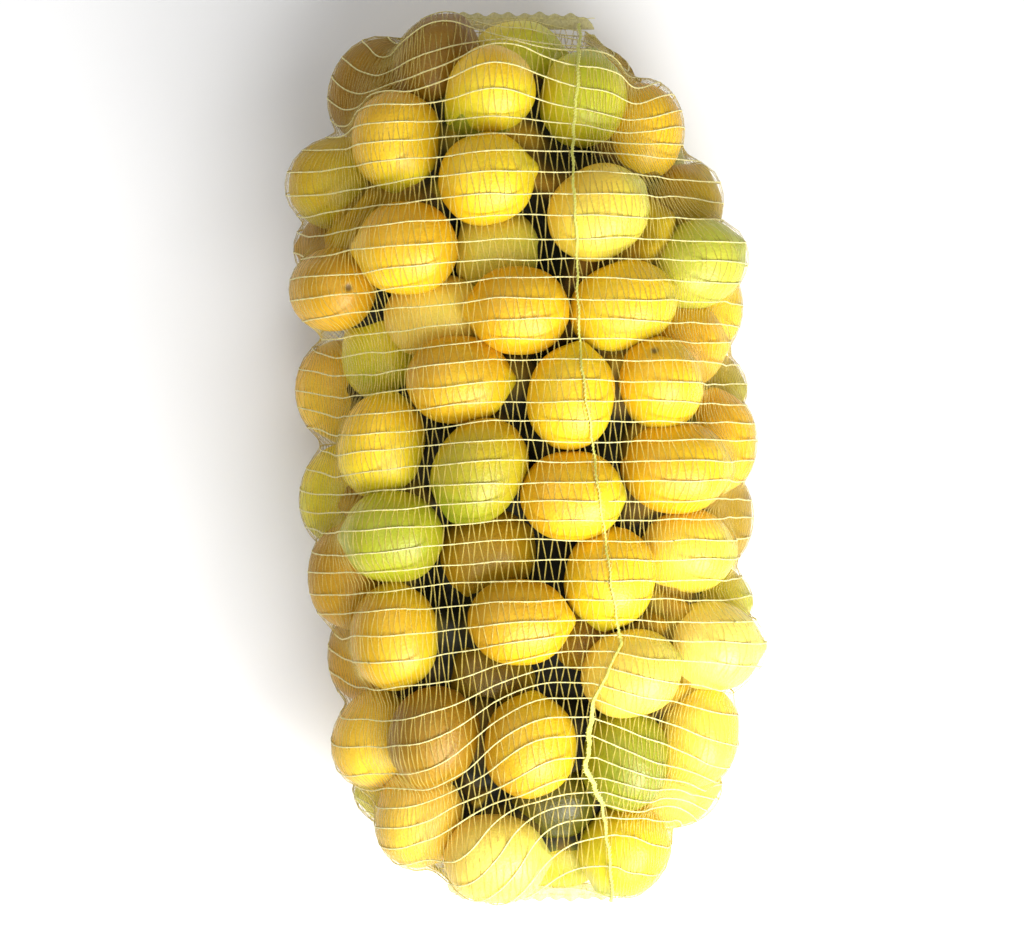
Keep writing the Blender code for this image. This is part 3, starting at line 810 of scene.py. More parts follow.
def build_lemons():
    """All the lemons as three joined meshes."""
    draw = np.random.RandomState(LOOKS_SEED)
    kinds = {name: ([], [], [], [], []) for name in rinds}
    for index in range(LEMON_COUNT):
        ripeness, dullness_and_shade, tip = draw.normal(*HIDDEN_RIPENESS), HIDDEN_DULLNESS_AND_SHADE, draw.choice((-1, 1))
        if index < len(UPPER_LEMONS):
            ripeness, dullness_and_shade, tip = UPPER_LEMONS[index][5:]
        *blocks, faces = kinds[kind_of(ripeness)]
        joined, rings = lemon_in_place(draw, index, ripeness, dullness_and_shade, tip)
        faces.extend(closed_rings(rings, sum(len(block) for block in blocks[0])))
        for kept, block in zip(blocks, joined):
            kept.append(block)
    pieces = []
    for name, (points, ripe, scar, dull_and_shade, faces) in kinds.items():
        by_point = {"ripeness": ripe, "scar": scar, "dullness_and_shade": dull_and_shade}
        attributes = {key: np.concatenate(blocks) for key, blocks in by_point.items()}
        material, finish = rinds[name]
        pieces.append(make_piece(name, np.concatenate(points), faces, material, attributes))
    return pieces


lemon_pieces = build_lemons()
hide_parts("net_of_lemons")

# %% [markdown]
# ## The core under the outer lemons
#
# Between the lemons one looks into the sack, at more lemons that lie in each other's shade, and past them
# into the dark. Hundreds of whole lemons that nobody sees would be a waste, and a plain dark ball would read
# as a hole. So the core is a relief: lemon-shaped bumps, spaced like a second layer, are read off the same
# rays as the net, and everything between them sinks out of sight. Beside each real lemon the core dips into
# a crevice, so that it never cuts one off. The bumps have the rind's colours, and they fade to black the
# deeper they lie and the nearer they are to the middle of the sack, where least light comes in.

# %% Second layer of lemons as a relief


def smooth(value, start, end):
    """0 at start, 1 at end, and a soft S between them."""
    share = np.clip((value - start) / (end - start), 0.0, 1.0)
    return share * share * (3 - 2 * share)


CORE_GRID = (340, 270)
CORE_REACH = 0.95
BUMP_PITCH = (0.047, 0.043)
TOP_BUMP_DEPTH = 0.016
SIDE_BUMP_DEPTH = 0.006
TOP_SIDE = (0.2, 0.8)
MIDDLE_BUMP_DEPTH = 0.028
BUMP_JITTER = 0.006
BUMP_RADIUS = 0.027
BUMP_HALF_LENGTH = 0.033
BUMP_SIZES = (0.92, 1.06)
BUMP_SINKING = (-0.003, 0.005)
BUMP_ROWS_REACH = 0.9
BUMP_RIPENESS = (0.25, 0.35)
BUMP_SHADE = (0.70, 1.0)
DEEPEST = 0.050
SHALLOWEST = 0.004
CORE_SMOOTHINGS = 1
UNDER_RIND = 0.003
CREVICE_SLOPE = 2.0
OUTER_LAYER = 0.055
SUNK_BELOW = 0.004
CLEAR_OF_SUNK = 0.037
DARK_MIDDLE = (-0.015, -0.050)
DARK_HALF_SPAN = (0.105, 0.195)
DARK_EDGE = (1.15, 0.80)
UPWARD = (0.1, 0.7)
GLOOM_LEAST = 0.15
GLOOM_DEPTHS = (0.008, 0.032)
# The core's rind is darkened as well, as painted shade.
CORE_DULLNESS_AND_SHADE = 0.25
CORE_DENTS = {"Strength": 0.3, "Distance": 0.002}
CORE_LOOK = {"Roughness": 0.7, "Specular IOR Level": 0.2}
DARK = (0.010, 0.010, 0.005, 1.0)
CORE_SEED = 2


def unlit_share(points, ways):
    """1 where hardly any light comes in between the lemons, 0 where the core is lit."""
    span = np.hypot(*((points[..., k] - shift[k] - DARK_MIDDLE[k]) / DARK_HALF_SPAN[k] for k in (0, 1)))
    return smooth(span, *DARK_EDGE) * smooth(ways[..., 2], *UPWARD)


def second_layer():
    """The lemons that the core's bumps stand for, in the sack's own place."""
    draw = np.random.RandomState(CORE_SEED)
    columns = round(LOOP / BUMP_PITCH[0])
    rows = round(2 * HALF_RUN * CORE_REACH / BUMP_PITCH[1])
    column, row = np.meshgrid(np.arange(columns), np.arange(rows))
    count = column.size
    around = (column + 0.5 * (row % 2)).ravel() * LOOP / columns + draw.normal(0, BUMP_JITTER, count)
    run = (row.ravel() / (rows - 1) * 2 - 1) * HALF_RUN * BUMP_ROWS_REACH
    run += draw.normal(0, BUMP_JITTER, count)
    points, ways = on_net(around, run / HALF_RUN)
    depth = SIDE_BUMP_DEPTH + (TOP_BUMP_DEPTH - SIDE_BUMP_DEPTH) * smooth(ways[..., 2], *TOP_SIDE)
    depth += (MIDDLE_BUMP_DEPTH - TOP_BUMP_DEPTH) * unlit_share(points, ways)
    depth += BUMP_RADIUS + draw.uniform(*BUMP_SINKING, count)
    middles, _ = on_net(around, run / HALF_RUN, -depth)
    middles = middles - shift
    sunk = [index for index, lemon in enumerate(UPPER_LEMONS) if lemon[4] > SUNK_BELOW]
    away = np.linalg.norm(middles[:, None, :] - lemons.middles[None, sunk, :], axis=-1).min(axis=1)
    # A bump this near to a sunk lemon would hide it, so it goes down to the middle of the sack.
    middles[away < CLEAR_OF_SUNK, 2] = SACK_THICKNESS / 2
    axes = draw.normal(size=(count, 3))
    axes /= np.linalg.norm(axes, axis=1, keepdims=True)
    radii = BUMP_RADIUS * draw.uniform(*BUMP_SIZES, count)
    half_lengths = BUMP_HALF_LENGTH * draw.uniform(*BUMP_SIZES, count)
    looks = np.stack((draw.normal(*BUMP_RIPENESS, count), draw.uniform(*BUMP_SHADE, count)))
    return Lemons(middles, axes, radii, half_lengths), looks


def room_for_core(spots, ways, net):
    """How far out the core may come: under the rind of the outer lemons, and down a crevice beside them."""
    room = np.full(net.shape, SACK_WIDTH)
    for index in range(LEMON_COUNT):
        nearest, out_of_it, wide = pass_lemon(spots, ways, lemons, index)
        beside = nearest + CREVICE_SLOPE * lemons.radii[index] * (wide - 1)
        here = np.where(wide < 1, np.maximum(out_of_it - UNDER_RIND, nearest), beside)
        room = np.where(nearest > net - OUTER_LAYER, np.minimum(room, here), room)
    return room


def core_material():
    """Rind in deep shade, down to nearly black."""
    material, tree, shader, place = new_material("shaded_inside")
    toned, drift = ripe_colour(tree, place)
    gloom = add_node(tree, "ShaderNodeAttribute", {"attribute_name": "gloom"}).outputs["Fac"]
    shaded = add_node(tree, "ShaderNodeMix", MIX, i0=gloom, i6=toned, i7=DARK)
    tree.links.new(shaded.outputs[2], shader.inputs["Base Color"])
    dents = add_node(tree, "ShaderNodeBump", Height=drift, **CORE_DENTS)
    tree.links.new(dents.outputs["Normal"], shader.inputs["Normal"])
    set_inputs(shader, CORE_LOOK)
    return material


def build_core():
    """A closed body with a lemon-like relief that follows the net from inside."""
    bumps, (bump_ripeness, bump_shade) = second_layer()
    around = np.linspace(0, LOOP, CORE_GRID[0], endpoint=False)
    along = np.linspace(-CORE_REACH, CORE_REACH, CORE_GRID[1])
    around, along = np.meshgrid(around, along)
    spots, ways = sheet_spot(around, along)
    reach, which = lemon_reach(spots, ways, bumps, 0.0)
    net = read_grid(net_height, around, along)
    height = np.minimum(reach, room_for_core(spots, ways, net))
    height = np.clip(height, net - DEEPEST, net - SHALLOWEST)
    for _ in range(CORE_SMOOTHINGS):
        height = (2 * height + np.roll(height, 1, axis=1) + np.roll(height, -1, axis=1)) / 4
        height[1:-1] = (2 * height[1:-1] + height[2:] + height[:-2]) / 4
    rings, ways = on_net(around, along, height - net)
    depth = net - height
    gloom = GLOOM_LEAST + (1 - GLOOM_LEAST) * smooth(depth, *GLOOM_DEPTHS)
    gloom = np.maximum(gloom, unlit_share(rings, ways) * bump_shade[which])
    by_point = (rings, bump_ripeness[which], gloom)
    points, ripe, gloom = [with_poles(values, values) for values in by_point]
    attributes = {"ripeness": ripe, "gloom": gloom, "dullness_and_shade": np.full(ripe.shape, CORE_DULLNESS_AND_SHADE)}
    faces = closed_rings(rings)
    return make_piece("inner_core", points, faces, core_material(), attributes)


build_core()

# %% [markdown]
# ## The net's chains
#
# The net is warp knitted. Its backbone is a set of parallel chains, each a column of small loops that looks
# like a thin braid, and on this sack they run across it. Curve objects with a bevel would be the usual way to
# draw them. Here there are forty-nine chains of about four hundred steps each, so we make the tubes
# ourselves, all at once, from arrays: a ring of four points at each step, thick at a knot and thin between
# two knots.
#
# Chains aren't laid in with a ruler. They slope down to the left, wander a little, and at the lower end the
# side seam has pulled them up into a peak. That is a shift along the sack that depends on the place.

# %% Where the chains run
CHAINS_PER_HALF = 24
CHAIN_PITCH = 0.0124
PITCH_GROWTH = 0.0000027  # makes the pitch grow with the square of the way from the middle
KNOT_COLUMNS = 204
STEPS_PER_KNOT = 2
NET_SEED = 3
WANDER = 0.0009
PULLED_FROM = -0.080
PULLED_TO = -0.205
PULLED_UP = 0.024
PULLED_DOWN = 0.058
PULLED_LEFT = (-0.022, -0.120)  # left of the seam the chains drop again between these distances from it
RIGHT_SLOPE = 0.45
LEFT_SLOPE = 0.09
LEFT_FROM = -0.02
UPPER_SIDE = (-0.7, 0.4)
END_ROOM = 0.05
LEAST_SHIFT = 0.05
LAST_PLACE = 0.995
PITCH_SPREAD = 0.0007
WANDER_WAVES = (3, 5, 8, 13, 21)
KNOT_JITTER = 0.0005

# Where the long side seam runs over the upper side, as (x, y) from the lower end up
SEAM_ROUTE = (
    (0.060, -0.280),
    (0.050, -0.222),
    (0.040, -0.190),
    (0.042, -0.155),
    (0.060, -0.115),
    (0.050, -0.050),
    (0.034, 0.070),
    (0.030, 0.280),
)


def seam_x(y):
    """Where the side seam is at y."""
    route = np.array(SEAM_ROUTE)
    return np.interp(y, route[:, 1], route[:, 0])


def chain_shift(x, y):
    """How far a chain of the upper side is pulled along the sack at (x, y)."""
    slope = -LEFT_SLOPE * np.maximum(LEFT_FROM - x, 0.0)
    pulled = smooth(y, PULLED_FROM, PULLED_TO)
    left = PULLED_DOWN * smooth(x, seam_x(y) + PULLED_LEFT[0], seam_x(y) + PULLED_LEFT[1])
    right = RIGHT_SLOPE * np.maximum(x - seam_x(y), 0.0)
    return slope + pulled * (PULLED_UP - left - right)


def net_place(around, run):
    """Where along the net a point of a chain lies that would be at this run if nothing pulled at it."""
    points, ways = on_net(around, np.clip(run / HALF_RUN, -1, 1))
    upper = smooth(ways[..., 2], *UPPER_SIDE)
    room = np.clip((HALF_RUN - np.abs(run)) / END_ROOM, LEAST_SHIFT, 1.0)
    in_sack = points - shift
    moved = run + chain_shift(in_sack[..., 0], in_sack[..., 1]) * upper * room
    return np.clip(moved / HALF_RUN, -LAST_PLACE, LAST_PLACE)


def chain_places():
    """(around, along) of each step of each chain. The steps' places are shared with the tapes."""
    draw = np.random.RandomState(NET_SEED)
    order = np.arange(-CHAINS_PER_HALF, CHAINS_PER_HALF + 1)
    run = CHAIN_PITCH * order + PITCH_GROWTH * order**3
    run = run + draw.uniform(-PITCH_SPREAD, PITCH_SPREAD, len(order))
    steps = KNOT_COLUMNS * STEPS_PER_KNOT
    around = np.broadcast_to(np.linspace(0, LOOP, steps, endpoint=False), (len(order), steps))
    wander = np.zeros(around.shape)
    for waves in WANDER_WAVES:
        phase = draw.uniform(0, 2 * math.pi, (len(order), 1))
        wander += WANDER / waves**0.5 * np.sin(2 * math.pi * waves * around / LOOP + phase)
    jitter = draw.normal(0, KNOT_JITTER, (len(order), KNOT_COLUMNS))
    around = around + np.repeat(jitter, STEPS_PER_KNOT, axis=1)
    return around, net_place(around, run[:, None] + wander)


chain_around, chain_along = chain_places()
print(chain_around.shape[0], "chains of", chain_around.shape[1], "steps")

# %% Chain tubes
KNOT_HALF_WIDTH = 0.00070
KNOT_HALF_HEIGHT = 0.00055
CHAIN_HALF_WIDTH = 0.00046
CHAIN_HALF_HEIGHT = 0.00042
CHAIN_SIDES = 4
CHAIN_LIFT = -0.0004
LOOP_SWELL = 0.2
LOWEST = 0.0001


def crosswise(points, ways, closed):
    """Unit vectors beside and out from a strand at each of its points, from its run and the way out."""
    if closed:
        run = np.roll(points, -1, axis=-2) - np.roll(points, 1, axis=-2)
    else:
        run = np.gradient(points, axis=-2)
    run /= np.linalg.norm(run, axis=-1, keepdims=True) + 1e-12
    beside = np.cross(ways, run)
    beside /= np.linalg.norm(beside, axis=-1, keepdims=True) + 1e-12
    return beside, np.cross(run, beside)


def round_strand(points, ways, half_width, half_height, sides, closed):
    """Rings of points round a strand, with one ring at each of its points."""
    beside, out = crosswise(points, ways, closed)
    turn = 2 * math.pi * (np.arange(sides) + 0.5) / sides
    across = beside[..., None, :] * (np.cos(turn)[:, None] * half_width[..., None, None])
    upward = out[..., None, :] * (np.sin(turn)[:, None] * half_height[..., None, None])
    return points[..., None, :] + across + upward


def strand_faces(strands, stations, sides, closed):
    """Faces of many equal strands, ring after ring. An open strand gets a cap at each end."""
    strand = (np.arange(strands) * stations * sides)[:, None, None]
    last = stations if closed else stations - 1
    station = np.arange(last)[None, :, None]
    side = np.arange(sides)[None, None, :]
    here = strand + station * sides + side
    beside = strand + station * sides + (side + 1) % sides
    onward = strand + (station + 1) % stations * sides + side
    onward_beside = strand + (station + 1) % stations * sides + (side + 1) % sides
    faces = np.stack((beside, onward_beside, onward, here), axis=-1).reshape(-1, 4).tolist()
    if not closed:
        first_cap = strand[..., 0] + np.arange(sides)
        last_cap = strand[..., 0] + (stations - 1) * sides + np.arange(sides)[::-1]
        faces += first_cap.tolist() + last_cap.tolist()
    return faces


def build_chains():
    """Every chain as a closed tube round the sack."""
    points, ways = on_net(chain_around, chain_along, CHAIN_LIFT)
    chains, steps = chain_around.shape
    order = np.arange(steps)[None, :] + STEPS_PER_KNOT * np.arange(chains)[:, None]
    knot = order % (2 * STEPS_PER_KNOT) == 0
    half_width = np.where(knot, KNOT_HALF_WIDTH, CHAIN_HALF_WIDTH * (1 + LOOP_SWELL * (order % 2)))
    half_height = np.where(knot, KNOT_HALF_HEIGHT, CHAIN_HALF_HEIGHT)
    rings = round_strand(points, ways, half_width, half_height, CHAIN_SIDES, True)
    rings[..., 2] = np.maximum(rings[..., 2], LOWEST)
    faces = strand_faces(chains, steps, CHAIN_SIDES, True)
    return make_piece("net_chains", rings, faces, chain_yarn)


# %% [markdown]
# ## The net's yarn
#
# The yarn is a thin slit plastic film, cream with a hint of green. In a chain it is bunched into loops and
# hides most of what is behind it. Between the chains it lies flat as a single tape, and one sees the lemon
# through it. So there are two materials from one recipe. Both have their Alpha turned down, the tape's much
# further. A fine noise, as bump and as colour, stands for the loops.

# %% Two kinds of yarn
CHAIN_CREAM = (0.92, 0.86, 0.44, 1.0)
CHAIN_SHADE = (0.78, 0.68, 0.22, 1.0)
CHAIN_ALPHA = 0.80
CHAIN_ROUGHNESS = 0.45
TAPE_TINT = (0.82, 0.66, 0.16, 1.0)
TAPE_SHADE = (0.66, 0.50, 0.09, 1.0)
TAPE_ALPHA = 0.32
TAPE_ROUGHNESS = 0.32
LOOP_SCALE = 700.0
LOOP_TONES = (0.32, 0.62)
LOOP_RIDGES = {"Strength": 0.5, "Distance": 0.0003}


def yarn_material(name, light, dark, roughness, alpha=1.0):
    """Knitted plastic yarn between two tones, and clear as far as alpha is below 1."""
    material, tree, shader, place = new_material(name)
    loops = add_node(tree, "ShaderNodeTexNoise", Vector=place, Scale=LOOP_SCALE, Detail=2.0, Roughness=0.6)
    tone = add_node(tree, "ShaderNodeValToRGB", Fac=loops.outputs["Fac"])
    for stop, position, colour in zip(tone.color_ramp.elements, LOOP_TONES, (dark, light)):
        stop.position = position
        stop.color = colour
    tree.links.new(tone.outputs["Color"], shader.inputs["Base Color"])
    ridges = add_node(tree, "ShaderNodeBump", Height=loops.outputs["Fac"], **LOOP_RIDGES)
    tree.links.new(ridges.outputs["Normal"], shader.inputs["Normal"])
    set_inputs(shader, {"Roughness": roughness, "Alpha": alpha})
    return material


chain_yarn = yarn_material("chain_yarn", CHAIN_CREAM, CHAIN_SHADE, CHAIN_ROUGHNESS, CHAIN_ALPHA)
tape_film = yarn_material("tape_film", TAPE_TINT, TAPE_SHADE, TAPE_ROUGHNESS, TAPE_ALPHA)
build_chains()

# %% [markdown]
# ## The tapes between the chains
#
# From knot to knot a tape zigzags between two neighbouring chains. It could be one long strand, but its
# corners would then need bending round each knot, where nobody can see it. So each straight stretch is its
# own short strip with three sides, narrow in the knots and wider halfway. Its points are again places on
# the net, so the strips bulge over the lemons with the chains.

# %% Zigzag tapes
TAPE_STATIONS = 3
TAPE_HALF_WIDTHS = (0.00045, 0.00062, 0.00045)
TAPE_UPRIGHT = 0.26  # share of a knot's spacing that a tape stands in from each of its two knots
TAPE_HALF_HEIGHT = 0.00022
TAPE_SIDES = 3
TAPE_LIFT = -0.0004


def build_tapes():
    """The strips of every zigzag between two chains."""
    knots_around = chain_around[:, ::STEPS_PER_KNOT]
    knots_along = chain_along[:, ::STEPS_PER_KNOT]
    chains_count, columns = knots_around.shape
    column = np.arange(columns)
    starts, ends = [], []
    for lower in range(chains_count - 1):
        on_upper = (column + lower) % 2
        around = np.where(on_upper, knots_around[lower + 1], knots_around[lower])
        along = np.where(on_upper, knots_along[lower + 1], knots_along[lower])
        next_around = np.roll(around, -1)
        next_around[-1] += LOOP
        starts.append(np.stack((around, along), axis=-1))
        ends.append(np.stack((next_around, np.roll(along, -1)), axis=-1))
    starts = np.concatenate(starts)[:, None, :]
    ends = np.concatenate(ends)[:, None, :]
    share = np.linspace(0, 1, TAPE_STATIONS)[None, :]
    sideways = TAPE_UPRIGHT + (1 - 2 * TAPE_UPRIGHT) * share
    places = starts + (ends - starts) * np.stack((sideways, share), axis=-1)
    points, ways = on_net(places[..., 0], places[..., 1], TAPE_LIFT)
    half_width = np.broadcast_to(TAPE_HALF_WIDTHS, points.shape[:2])
    half_height = np.full(points.shape[:2], TAPE_HALF_HEIGHT)
    rings = round_strand(points, ways, half_width, half_height, TAPE_SIDES, False)
    rings[..., 2] = np.maximum(rings[..., 2], LOWEST)
    faces = strand_faces(len(points), TAPE_STATIONS, TAPE_SIDES, False)
    return make_piece("net_tapes", rings, faces, tape_film)


build_tapes()

# %% [markdown]
# ## The side seam
#
# The tube of net is closed by a seam that runs the whole length of the sack. Its two edges are folded
# together and overlocked, so it stands up as a narrow ruffled ridge with thread over it. A plain tube would
# look like a cable. The ridge here has two folds side by side, it waves from side to side and swells where
# the net is bunched, and short thread loops cross it. As it is net too, it is a little see-through.

# %% The folded ridge
SEAM_STEPS = 360
SEAM_HALF_WIDTH = 0.0006
SEAM_LOOSE = 0.0008
SEAM_WIDE = 0.0015
SEAM_HALF_HEIGHT = 0.0008
SEAM_LIFT = 0.0005
SEAM_FOLDS = (
    (-1.0, -0.2),
    (-0.85, 0.7),
    (-0.45, 1.0),
    (0.0, 0.35),
    (0.45, 1.0),
    (0.85, 0.7),
    (1.0, -0.2),
    (0.0, -0.8),
)
FURTHEST_ROUND = 0.9  # how far down the sack's round side the seam may come
BUNCHED_ABOVE = (-0.235, -0.215)
BUNCHED_BELOW = (-0.140, -0.160)
SLACK_ABOVE = (0.110, 0.150)
SLACK_BELOW = (-0.080, -0.110)
RUFFLE = 0.0004
RUFFLE_WAVES = (0.0085, 0.047, 0.023, 0.061)
SWELL = 0.22
SWELL_WAVES = (0.0107, 0.0173)


def wave(run, length, phase=0.0):
    """A sine wave of this length along a run."""
    return np.sin(2 * math.pi * run / length + phase)


def seam_places(steps):
    """(around, along) of the seam from the lower end to the upper one, and how wide it is there."""
    along = np.linspace(-LAST_PLACE, LAST_PLACE, steps)
    spots, ways = sheet_spot(np.zeros_like(along), along)
    y = (spots + ways * SHEET_INSET)[:, 1]
    x = seam_x(y) - spine_x(y)
    past_flat = np.clip((x - SHEET_HALF_WIDTH) / SHEET_INSET, 0.0, FURTHEST_ROUND)
    around = np.minimum(x, SHEET_HALF_WIDTH) + SHEET_INSET * np.arcsin(past_flat)
    bunched = smooth(y, *BUNCHED_ABOVE) * smooth(y, *BUNCHED_BELOW)
    loose = np.maximum(smooth(y, *SLACK_ABOVE), smooth(y, *SLACK_BELOW))
    run = along * HALF_RUN
    finest, fine, middling, long = RUFFLE_WAVES
    ruffle = 0.5 * wave(run, finest) * wave(run, fine, 0.6) + wave(run, middling, 1.0) + 0.8 * wave(run, long)
    half_width = SEAM_HALF_WIDTH + (SEAM_LOOSE - SEAM_HALF_WIDTH) * loose
    half_width = half_width + (SEAM_WIDE - SEAM_LOOSE) * bunched
    half_width = half_width * (1 + SWELL * wave(run, SWELL_WAVES[0]) * wave(run, SWELL_WAVES[1]))
    return around + RUFFLE * ruffle * (1 + bunched), along, half_width


SEAM_GREEN = (0.80, 0.80, 0.17, 1.0)
SEAM_SHADE = (0.56, 0.57, 0.09, 1.0)
SEAM_ALPHA = 0.9
SEWN_ROUGHNESS = 0.5


def build_seam():
    """The ridge along the sack."""
    around, along, half_width = seam_places(SEAM_STEPS)
    points, ways = on_net(around, along, SEAM_LIFT)
    beside, out = crosswise(points, ways, False)
    folds = np.array(SEAM_FOLDS)
    across = beside[:, None, :] * (folds[:, 0][:, None] * half_width[:, None, None])
    upward = out[:, None, :] * (folds[:, 1][:, None] * SEAM_HALF_HEIGHT)
    rings = points[:, None, :] + across + upward
    rings = rings[:, ::-1]
    faces = strand_faces(1, SEAM_STEPS, len(folds), False)
    seam_edge = yarn_material("seam_edge", SEAM_GREEN, SEAM_SHADE, SEWN_ROUGHNESS, SEAM_ALPHA)
    return make_piece("side_seam", rings, faces, seam_edge)


build_seam()

# %% Overlock thread over the seam
THREAD_PITCH = 0.0026
THREAD_RADIUS = 0.00022
THREAD_STATIONS = 6
THREAD_SLANT = 0.0012
THREAD_SIDES = 4
THREAD_OVERHANG = 0.0004
THREAD_RISE = 0.0002
THREAD_SINK = 0.0004
THREAD_CREAM = (0.88, 0.82, 0.34, 1.0)
THREAD_SHADE = (0.68, 0.62, 0.16, 1.0)


def build_seam_thread():
    """Short loops of thread across the seam's ridge."""
    count = int(2 * HALF_RUN / THREAD_PITCH)
    around, along, half_width = seam_places(count)
    share = np.linspace(-1, 1, THREAD_STATIONS)[None, :]
    arc_around = around[:, None] + share * (half_width[:, None] + THREAD_OVERHANG)
    arc_along = np.clip(along[:, None] + share * THREAD_SLANT / HALF_RUN, -LAST_PLACE, LAST_PLACE)
    arch = (1 - share**4) * (SEAM_HALF_HEIGHT + THREAD_RISE) + SEAM_LIFT - THREAD_SINK
    points, ways = on_net(arc_around, arc_along, arch)
    size = np.full(points.shape[:2], THREAD_RADIUS)
    rings = round_strand(points, ways, size, size, THREAD_SIDES, False)
    faces = strand_faces(count, THREAD_STATIONS, THREAD_SIDES, False)
    return make_piece("seam_thread", rings, faces, thread)


thread = yarn_material("thread", THREAD_CREAM, THREAD_SHADE, SEWN_ROUGHNESS)
build_seam_thread()

# %% [markdown]
# ## The sewn ends
#
# Each end of the sack is gathered flat and sewn across, which leaves a short lip of crumpled net. A flat
# box there would look like a clip. The lip is a sweep along the end with a thin profile, and it is ruffled
# more and more towards its free edge, as gathered cloth is. A row of stitches holds it.

# %% Lips and their stitches
LIP_LENGTH = 0.008
LIP_STEPS = 96
LIP_OVERHANG = 0.006
LIP_PROFILE = ((0.0, 1.0), (0.5, 0.8), (1.0, 0.45), (1.0, -0.45), (0.5, -0.8), (0.0, -1.0))
LIP_HALF_THICKNESS = 0.0013
LIP_RUFFLE = 0.0009
LIP_RUFFLE_WAVES = (0.0016, 0.0037)
LIP_OVERLAP = 0.004
LIP_TRIM = 0.001
LIP_LENGTHS = (0.92, 0.08)
LIP_TONE = (0.78, 0.70, 0.26, 1.0)
LIP_SHADE = (0.52, 0.44, 0.12, 1.0)
LIP_ALPHA = 0.6
STITCH_LENGTH = 0.0032
STITCH_STATIONS = 5
STITCH_LINE = 0.0032
STITCH_MARGIN = 0.003
STITCH_BULGE = 0.0004
STITCH_THICKNESS = 1.3  # against the seam's thread


def lip_frame(end):
    """Middle of the sewn line at this end, and half the lip's width."""
    half_way = LOOP / 2
    top, _ = on_net(np.array([0.0, half_way]), np.full(2, end * 1.0))
    reach = SHEET_HALF_WIDTH * (END_NARROWING + (1 - END_NARROWING) * end_taper(STRAIGHT))
    return top.mean(axis=0), reach + LIP_OVERHANG


def lip_rings(end):
    """Rings of the ruffled lip, from its left end to its right one."""
    middle, half_width = lip_frame(end)
    across = np.linspace(-1, 1, LIP_STEPS)[:, None]
    profile = np.array(LIP_PROFILE)[None, :, :]
    out = profile[..., 0]
    taper = (1 - np.abs(across) ** 6) ** 0.5 * 0.9 + 0.1
    quick, slow = [across * half_width / length for length in LIP_RUFFLE_WAVES]
    ruffle = np.sin(quick) + 0.6 * np.sin(slow + 2.0)
    length = (LIP_LENGTH + LIP_OVERLAP - LIP_TRIM) * (LIP_LENGTHS[0] + LIP_LENGTHS[1] * ruffle) * taper
    x = middle[0] + across * half_width + 0 * out
    y = middle[1] + end * (-LIP_OVERLAP + out * length)
    z = middle[2] + profile[..., 1] * LIP_HALF_THICKNESS * taper + LIP_RUFFLE * ruffle * out
    rings = np.stack((x, y, z), axis=-1)
    return rings if end < 0 else rings[:, ::-1]


def lip_stitches(end):
    """Short strands of thread along the middle of the lip, over and under by turns."""
    middle, half_width = lip_frame(end)
    furthest = half_width - STITCH_MARGIN
    count = int(2 * furthest / STITCH_LENGTH)
    start = np.linspace(-furthest, furthest, count)[:, None]
    share = np.linspace(0, 1, STITCH_STATIONS)[None, :]
    side = np.where(np.arange(count) % 2, 1.0, -1.0)[:, None]
    x = middle[0] + start + share * STITCH_LENGTH
    y = middle[1] + end * STITCH_LINE + 0 * x
    arch = np.sin(math.pi * np.clip(share, 0.05, 0.95)) ** 0.4
    z = middle[2] + side * (LIP_HALF_THICKNESS + STITCH_BULGE) * arch
    points = np.stack((x, y, z + 0 * x), axis=-1)
    ways = np.broadcast_to((0.0, 0.0, 1.0), points.shape)
    size = np.full(points.shape[:2], THREAD_RADIUS * STITCH_THICKNESS)
    return round_strand(points, ways, size, size, THREAD_SIDES, False)


lip_net = yarn_material("lip_net", LIP_TONE, LIP_SHADE, SEWN_ROUGHNESS, LIP_ALPHA)
for end, word in ((-1, "lower"), (1, "upper")):
    rings = lip_rings(end)
    faces = strand_faces(1, LIP_STEPS, len(LIP_PROFILE), False)
    make_piece(f"sewn_lip_{word}", rings, faces, lip_net)
    stitches = lip_stitches(end)
    faces = strand_faces(len(stitches), STITCH_STATIONS, THREAD_SIDES, False)
    make_piece(f"lip_stitches_{word}", stitches, faces, thread)

# %% [markdown]
# ## Table, light and camera
#
# The sack lies on a plain white table. One large soft lamp stands low on the right, towards the lower end, so
# the lemons shine on that side and turn golden on the other. A small lamp nearer by lifts the lower right
# corner. A weak lamp opposite and a pale sky keep the shaded side readable. The camera looks straight down
# through a long lens, which keeps the sack's sides from leaning outwards.

# %% Table
TABLE_SIZE = 6.0
TABLE_TONES = (0.90, 0.94)
CLOUD_SCALE = 3.0
TABLE_ROUGHNESS = 0.8


def table_material():
    """Plain white, with the faintest unevenness."""
    material, tree, shader, place = new_material("white_table")
    cloud = add_node(tree, "ShaderNodeTexNoise", Vector=place, Scale=CLOUD_SCALE)
    ramp = add_node(tree, "ShaderNodeValToRGB", Fac=cloud.outputs["Fac"])
    for stop, tone in zip(ramp.color_ramp.elements, TABLE_TONES):
        stop.color = (tone, tone, tone, 1.0)
    tree.links.new(ramp.outputs["Color"], shader.inputs["Base Color"])
    shader.inputs["Roughness"].default_value = TABLE_ROUGHNESS
    return material


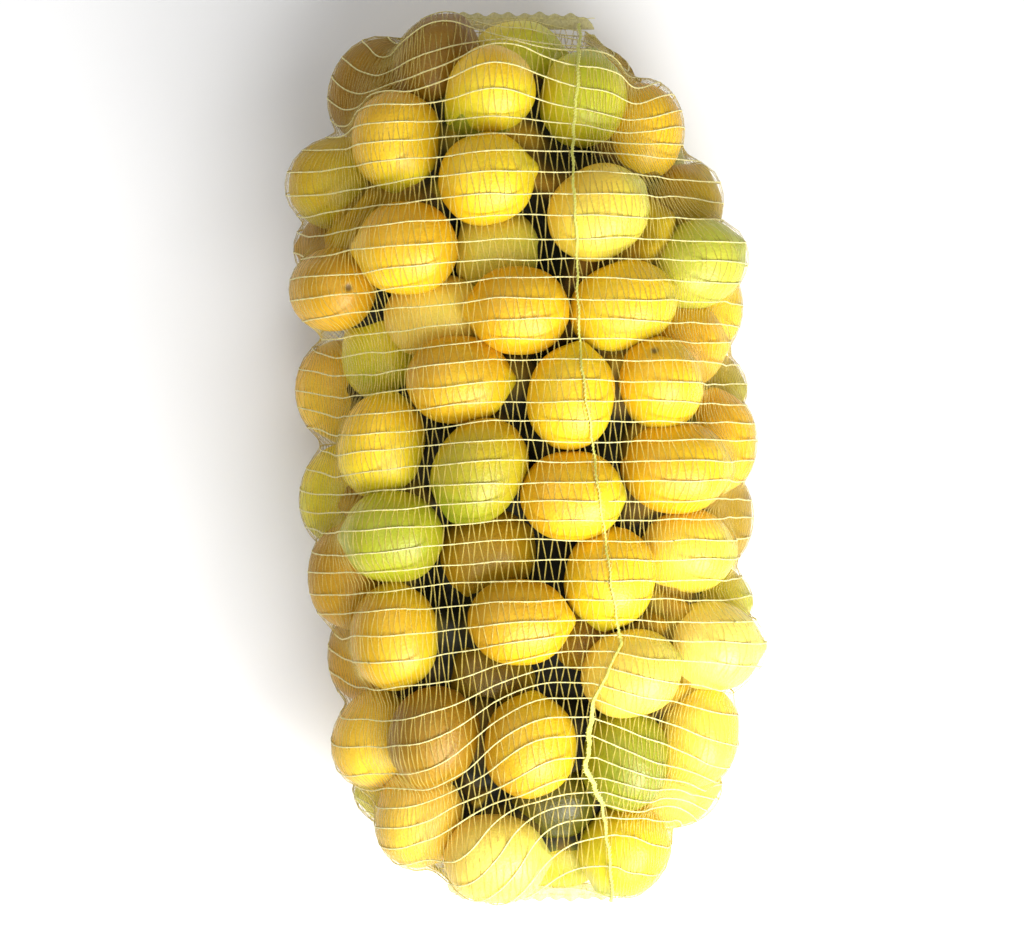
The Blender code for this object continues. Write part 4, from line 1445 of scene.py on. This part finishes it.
bpy.ops.mesh.primitive_plane_add(size=TABLE_SIZE)
table = bpy.context.object
table.name = "table"
table.data.materials.append(table_material())
print("table", TABLE_SIZE, "m wide")

# %% Lamps and sky
# name, place, aim, size in metres, power in watts
LAMPS = (
    ("key_lamp", (0.50, -1.00, 1.20), (0.0, -0.05, 0.1), 1.5, 36.5),
    ("near_lamp", (0.50, -0.60, 0.60), (0.10, -0.20, 0.1), 0.4, 6.5),
    ("fill_lamp", (-0.9, 0.6, 1.8), (0.0, 0.0, 0.1), 1.5, 7.0),
)
SKY_LOOK = {"Color": (1.0, 1.0, 1.0, 1.0), "Strength": 0.40}


def soft_lamp(name, place, aim, size, power):
    """A square soft lamp at place that shines at aim."""
    lamp = bpy.data.objects.new(name, bpy.data.lights.new(name, "AREA"))
    lamp.data.size = size
    lamp.data.energy = power
    lamp.location = place
    way = np.array(aim) - np.array(place)
    pitch = math.atan2(math.hypot(way[0], way[1]), -way[2])
    lamp.rotation_euler = (pitch, 0.0, math.atan2(way[1], way[0]) - math.pi / 2)
    bpy.context.scene.collection.objects.link(lamp)


for lamp_facts in LAMPS:
    soft_lamp(*lamp_facts)
world = bpy.data.worlds.new("pale_sky")
world.use_nodes = True
set_inputs(world.node_tree.nodes["Background"], SKY_LOOK)
bpy.context.scene.world = world
bpy.context.scene.view_settings.view_transform = "Standard"
print(len(LAMPS), "lamps and a sky")

# %% Camera
VIEW_WIDTH = 0.650
VIEW_LEVEL = 0.14  # the height above the table at which the view is that wide
CAMERA_HEIGHT = 2.6
AIM = (-0.0083, -0.0057, 0.0)
SENSOR_WIDTH = 36.0

camera = bpy.data.objects.new("camera", bpy.data.cameras.new("camera"))
camera.data.sensor_width = SENSOR_WIDTH
camera.data.lens = SENSOR_WIDTH * (CAMERA_HEIGHT - VIEW_LEVEL) / VIEW_WIDTH
camera.location = (AIM[0] + shift[0], AIM[1] + shift[1], CAMERA_HEIGHT)
bpy.context.scene.collection.objects.link(camera)
bpy.context.scene.camera = camera
print("lens", round(camera.data.lens, 1), "mm")
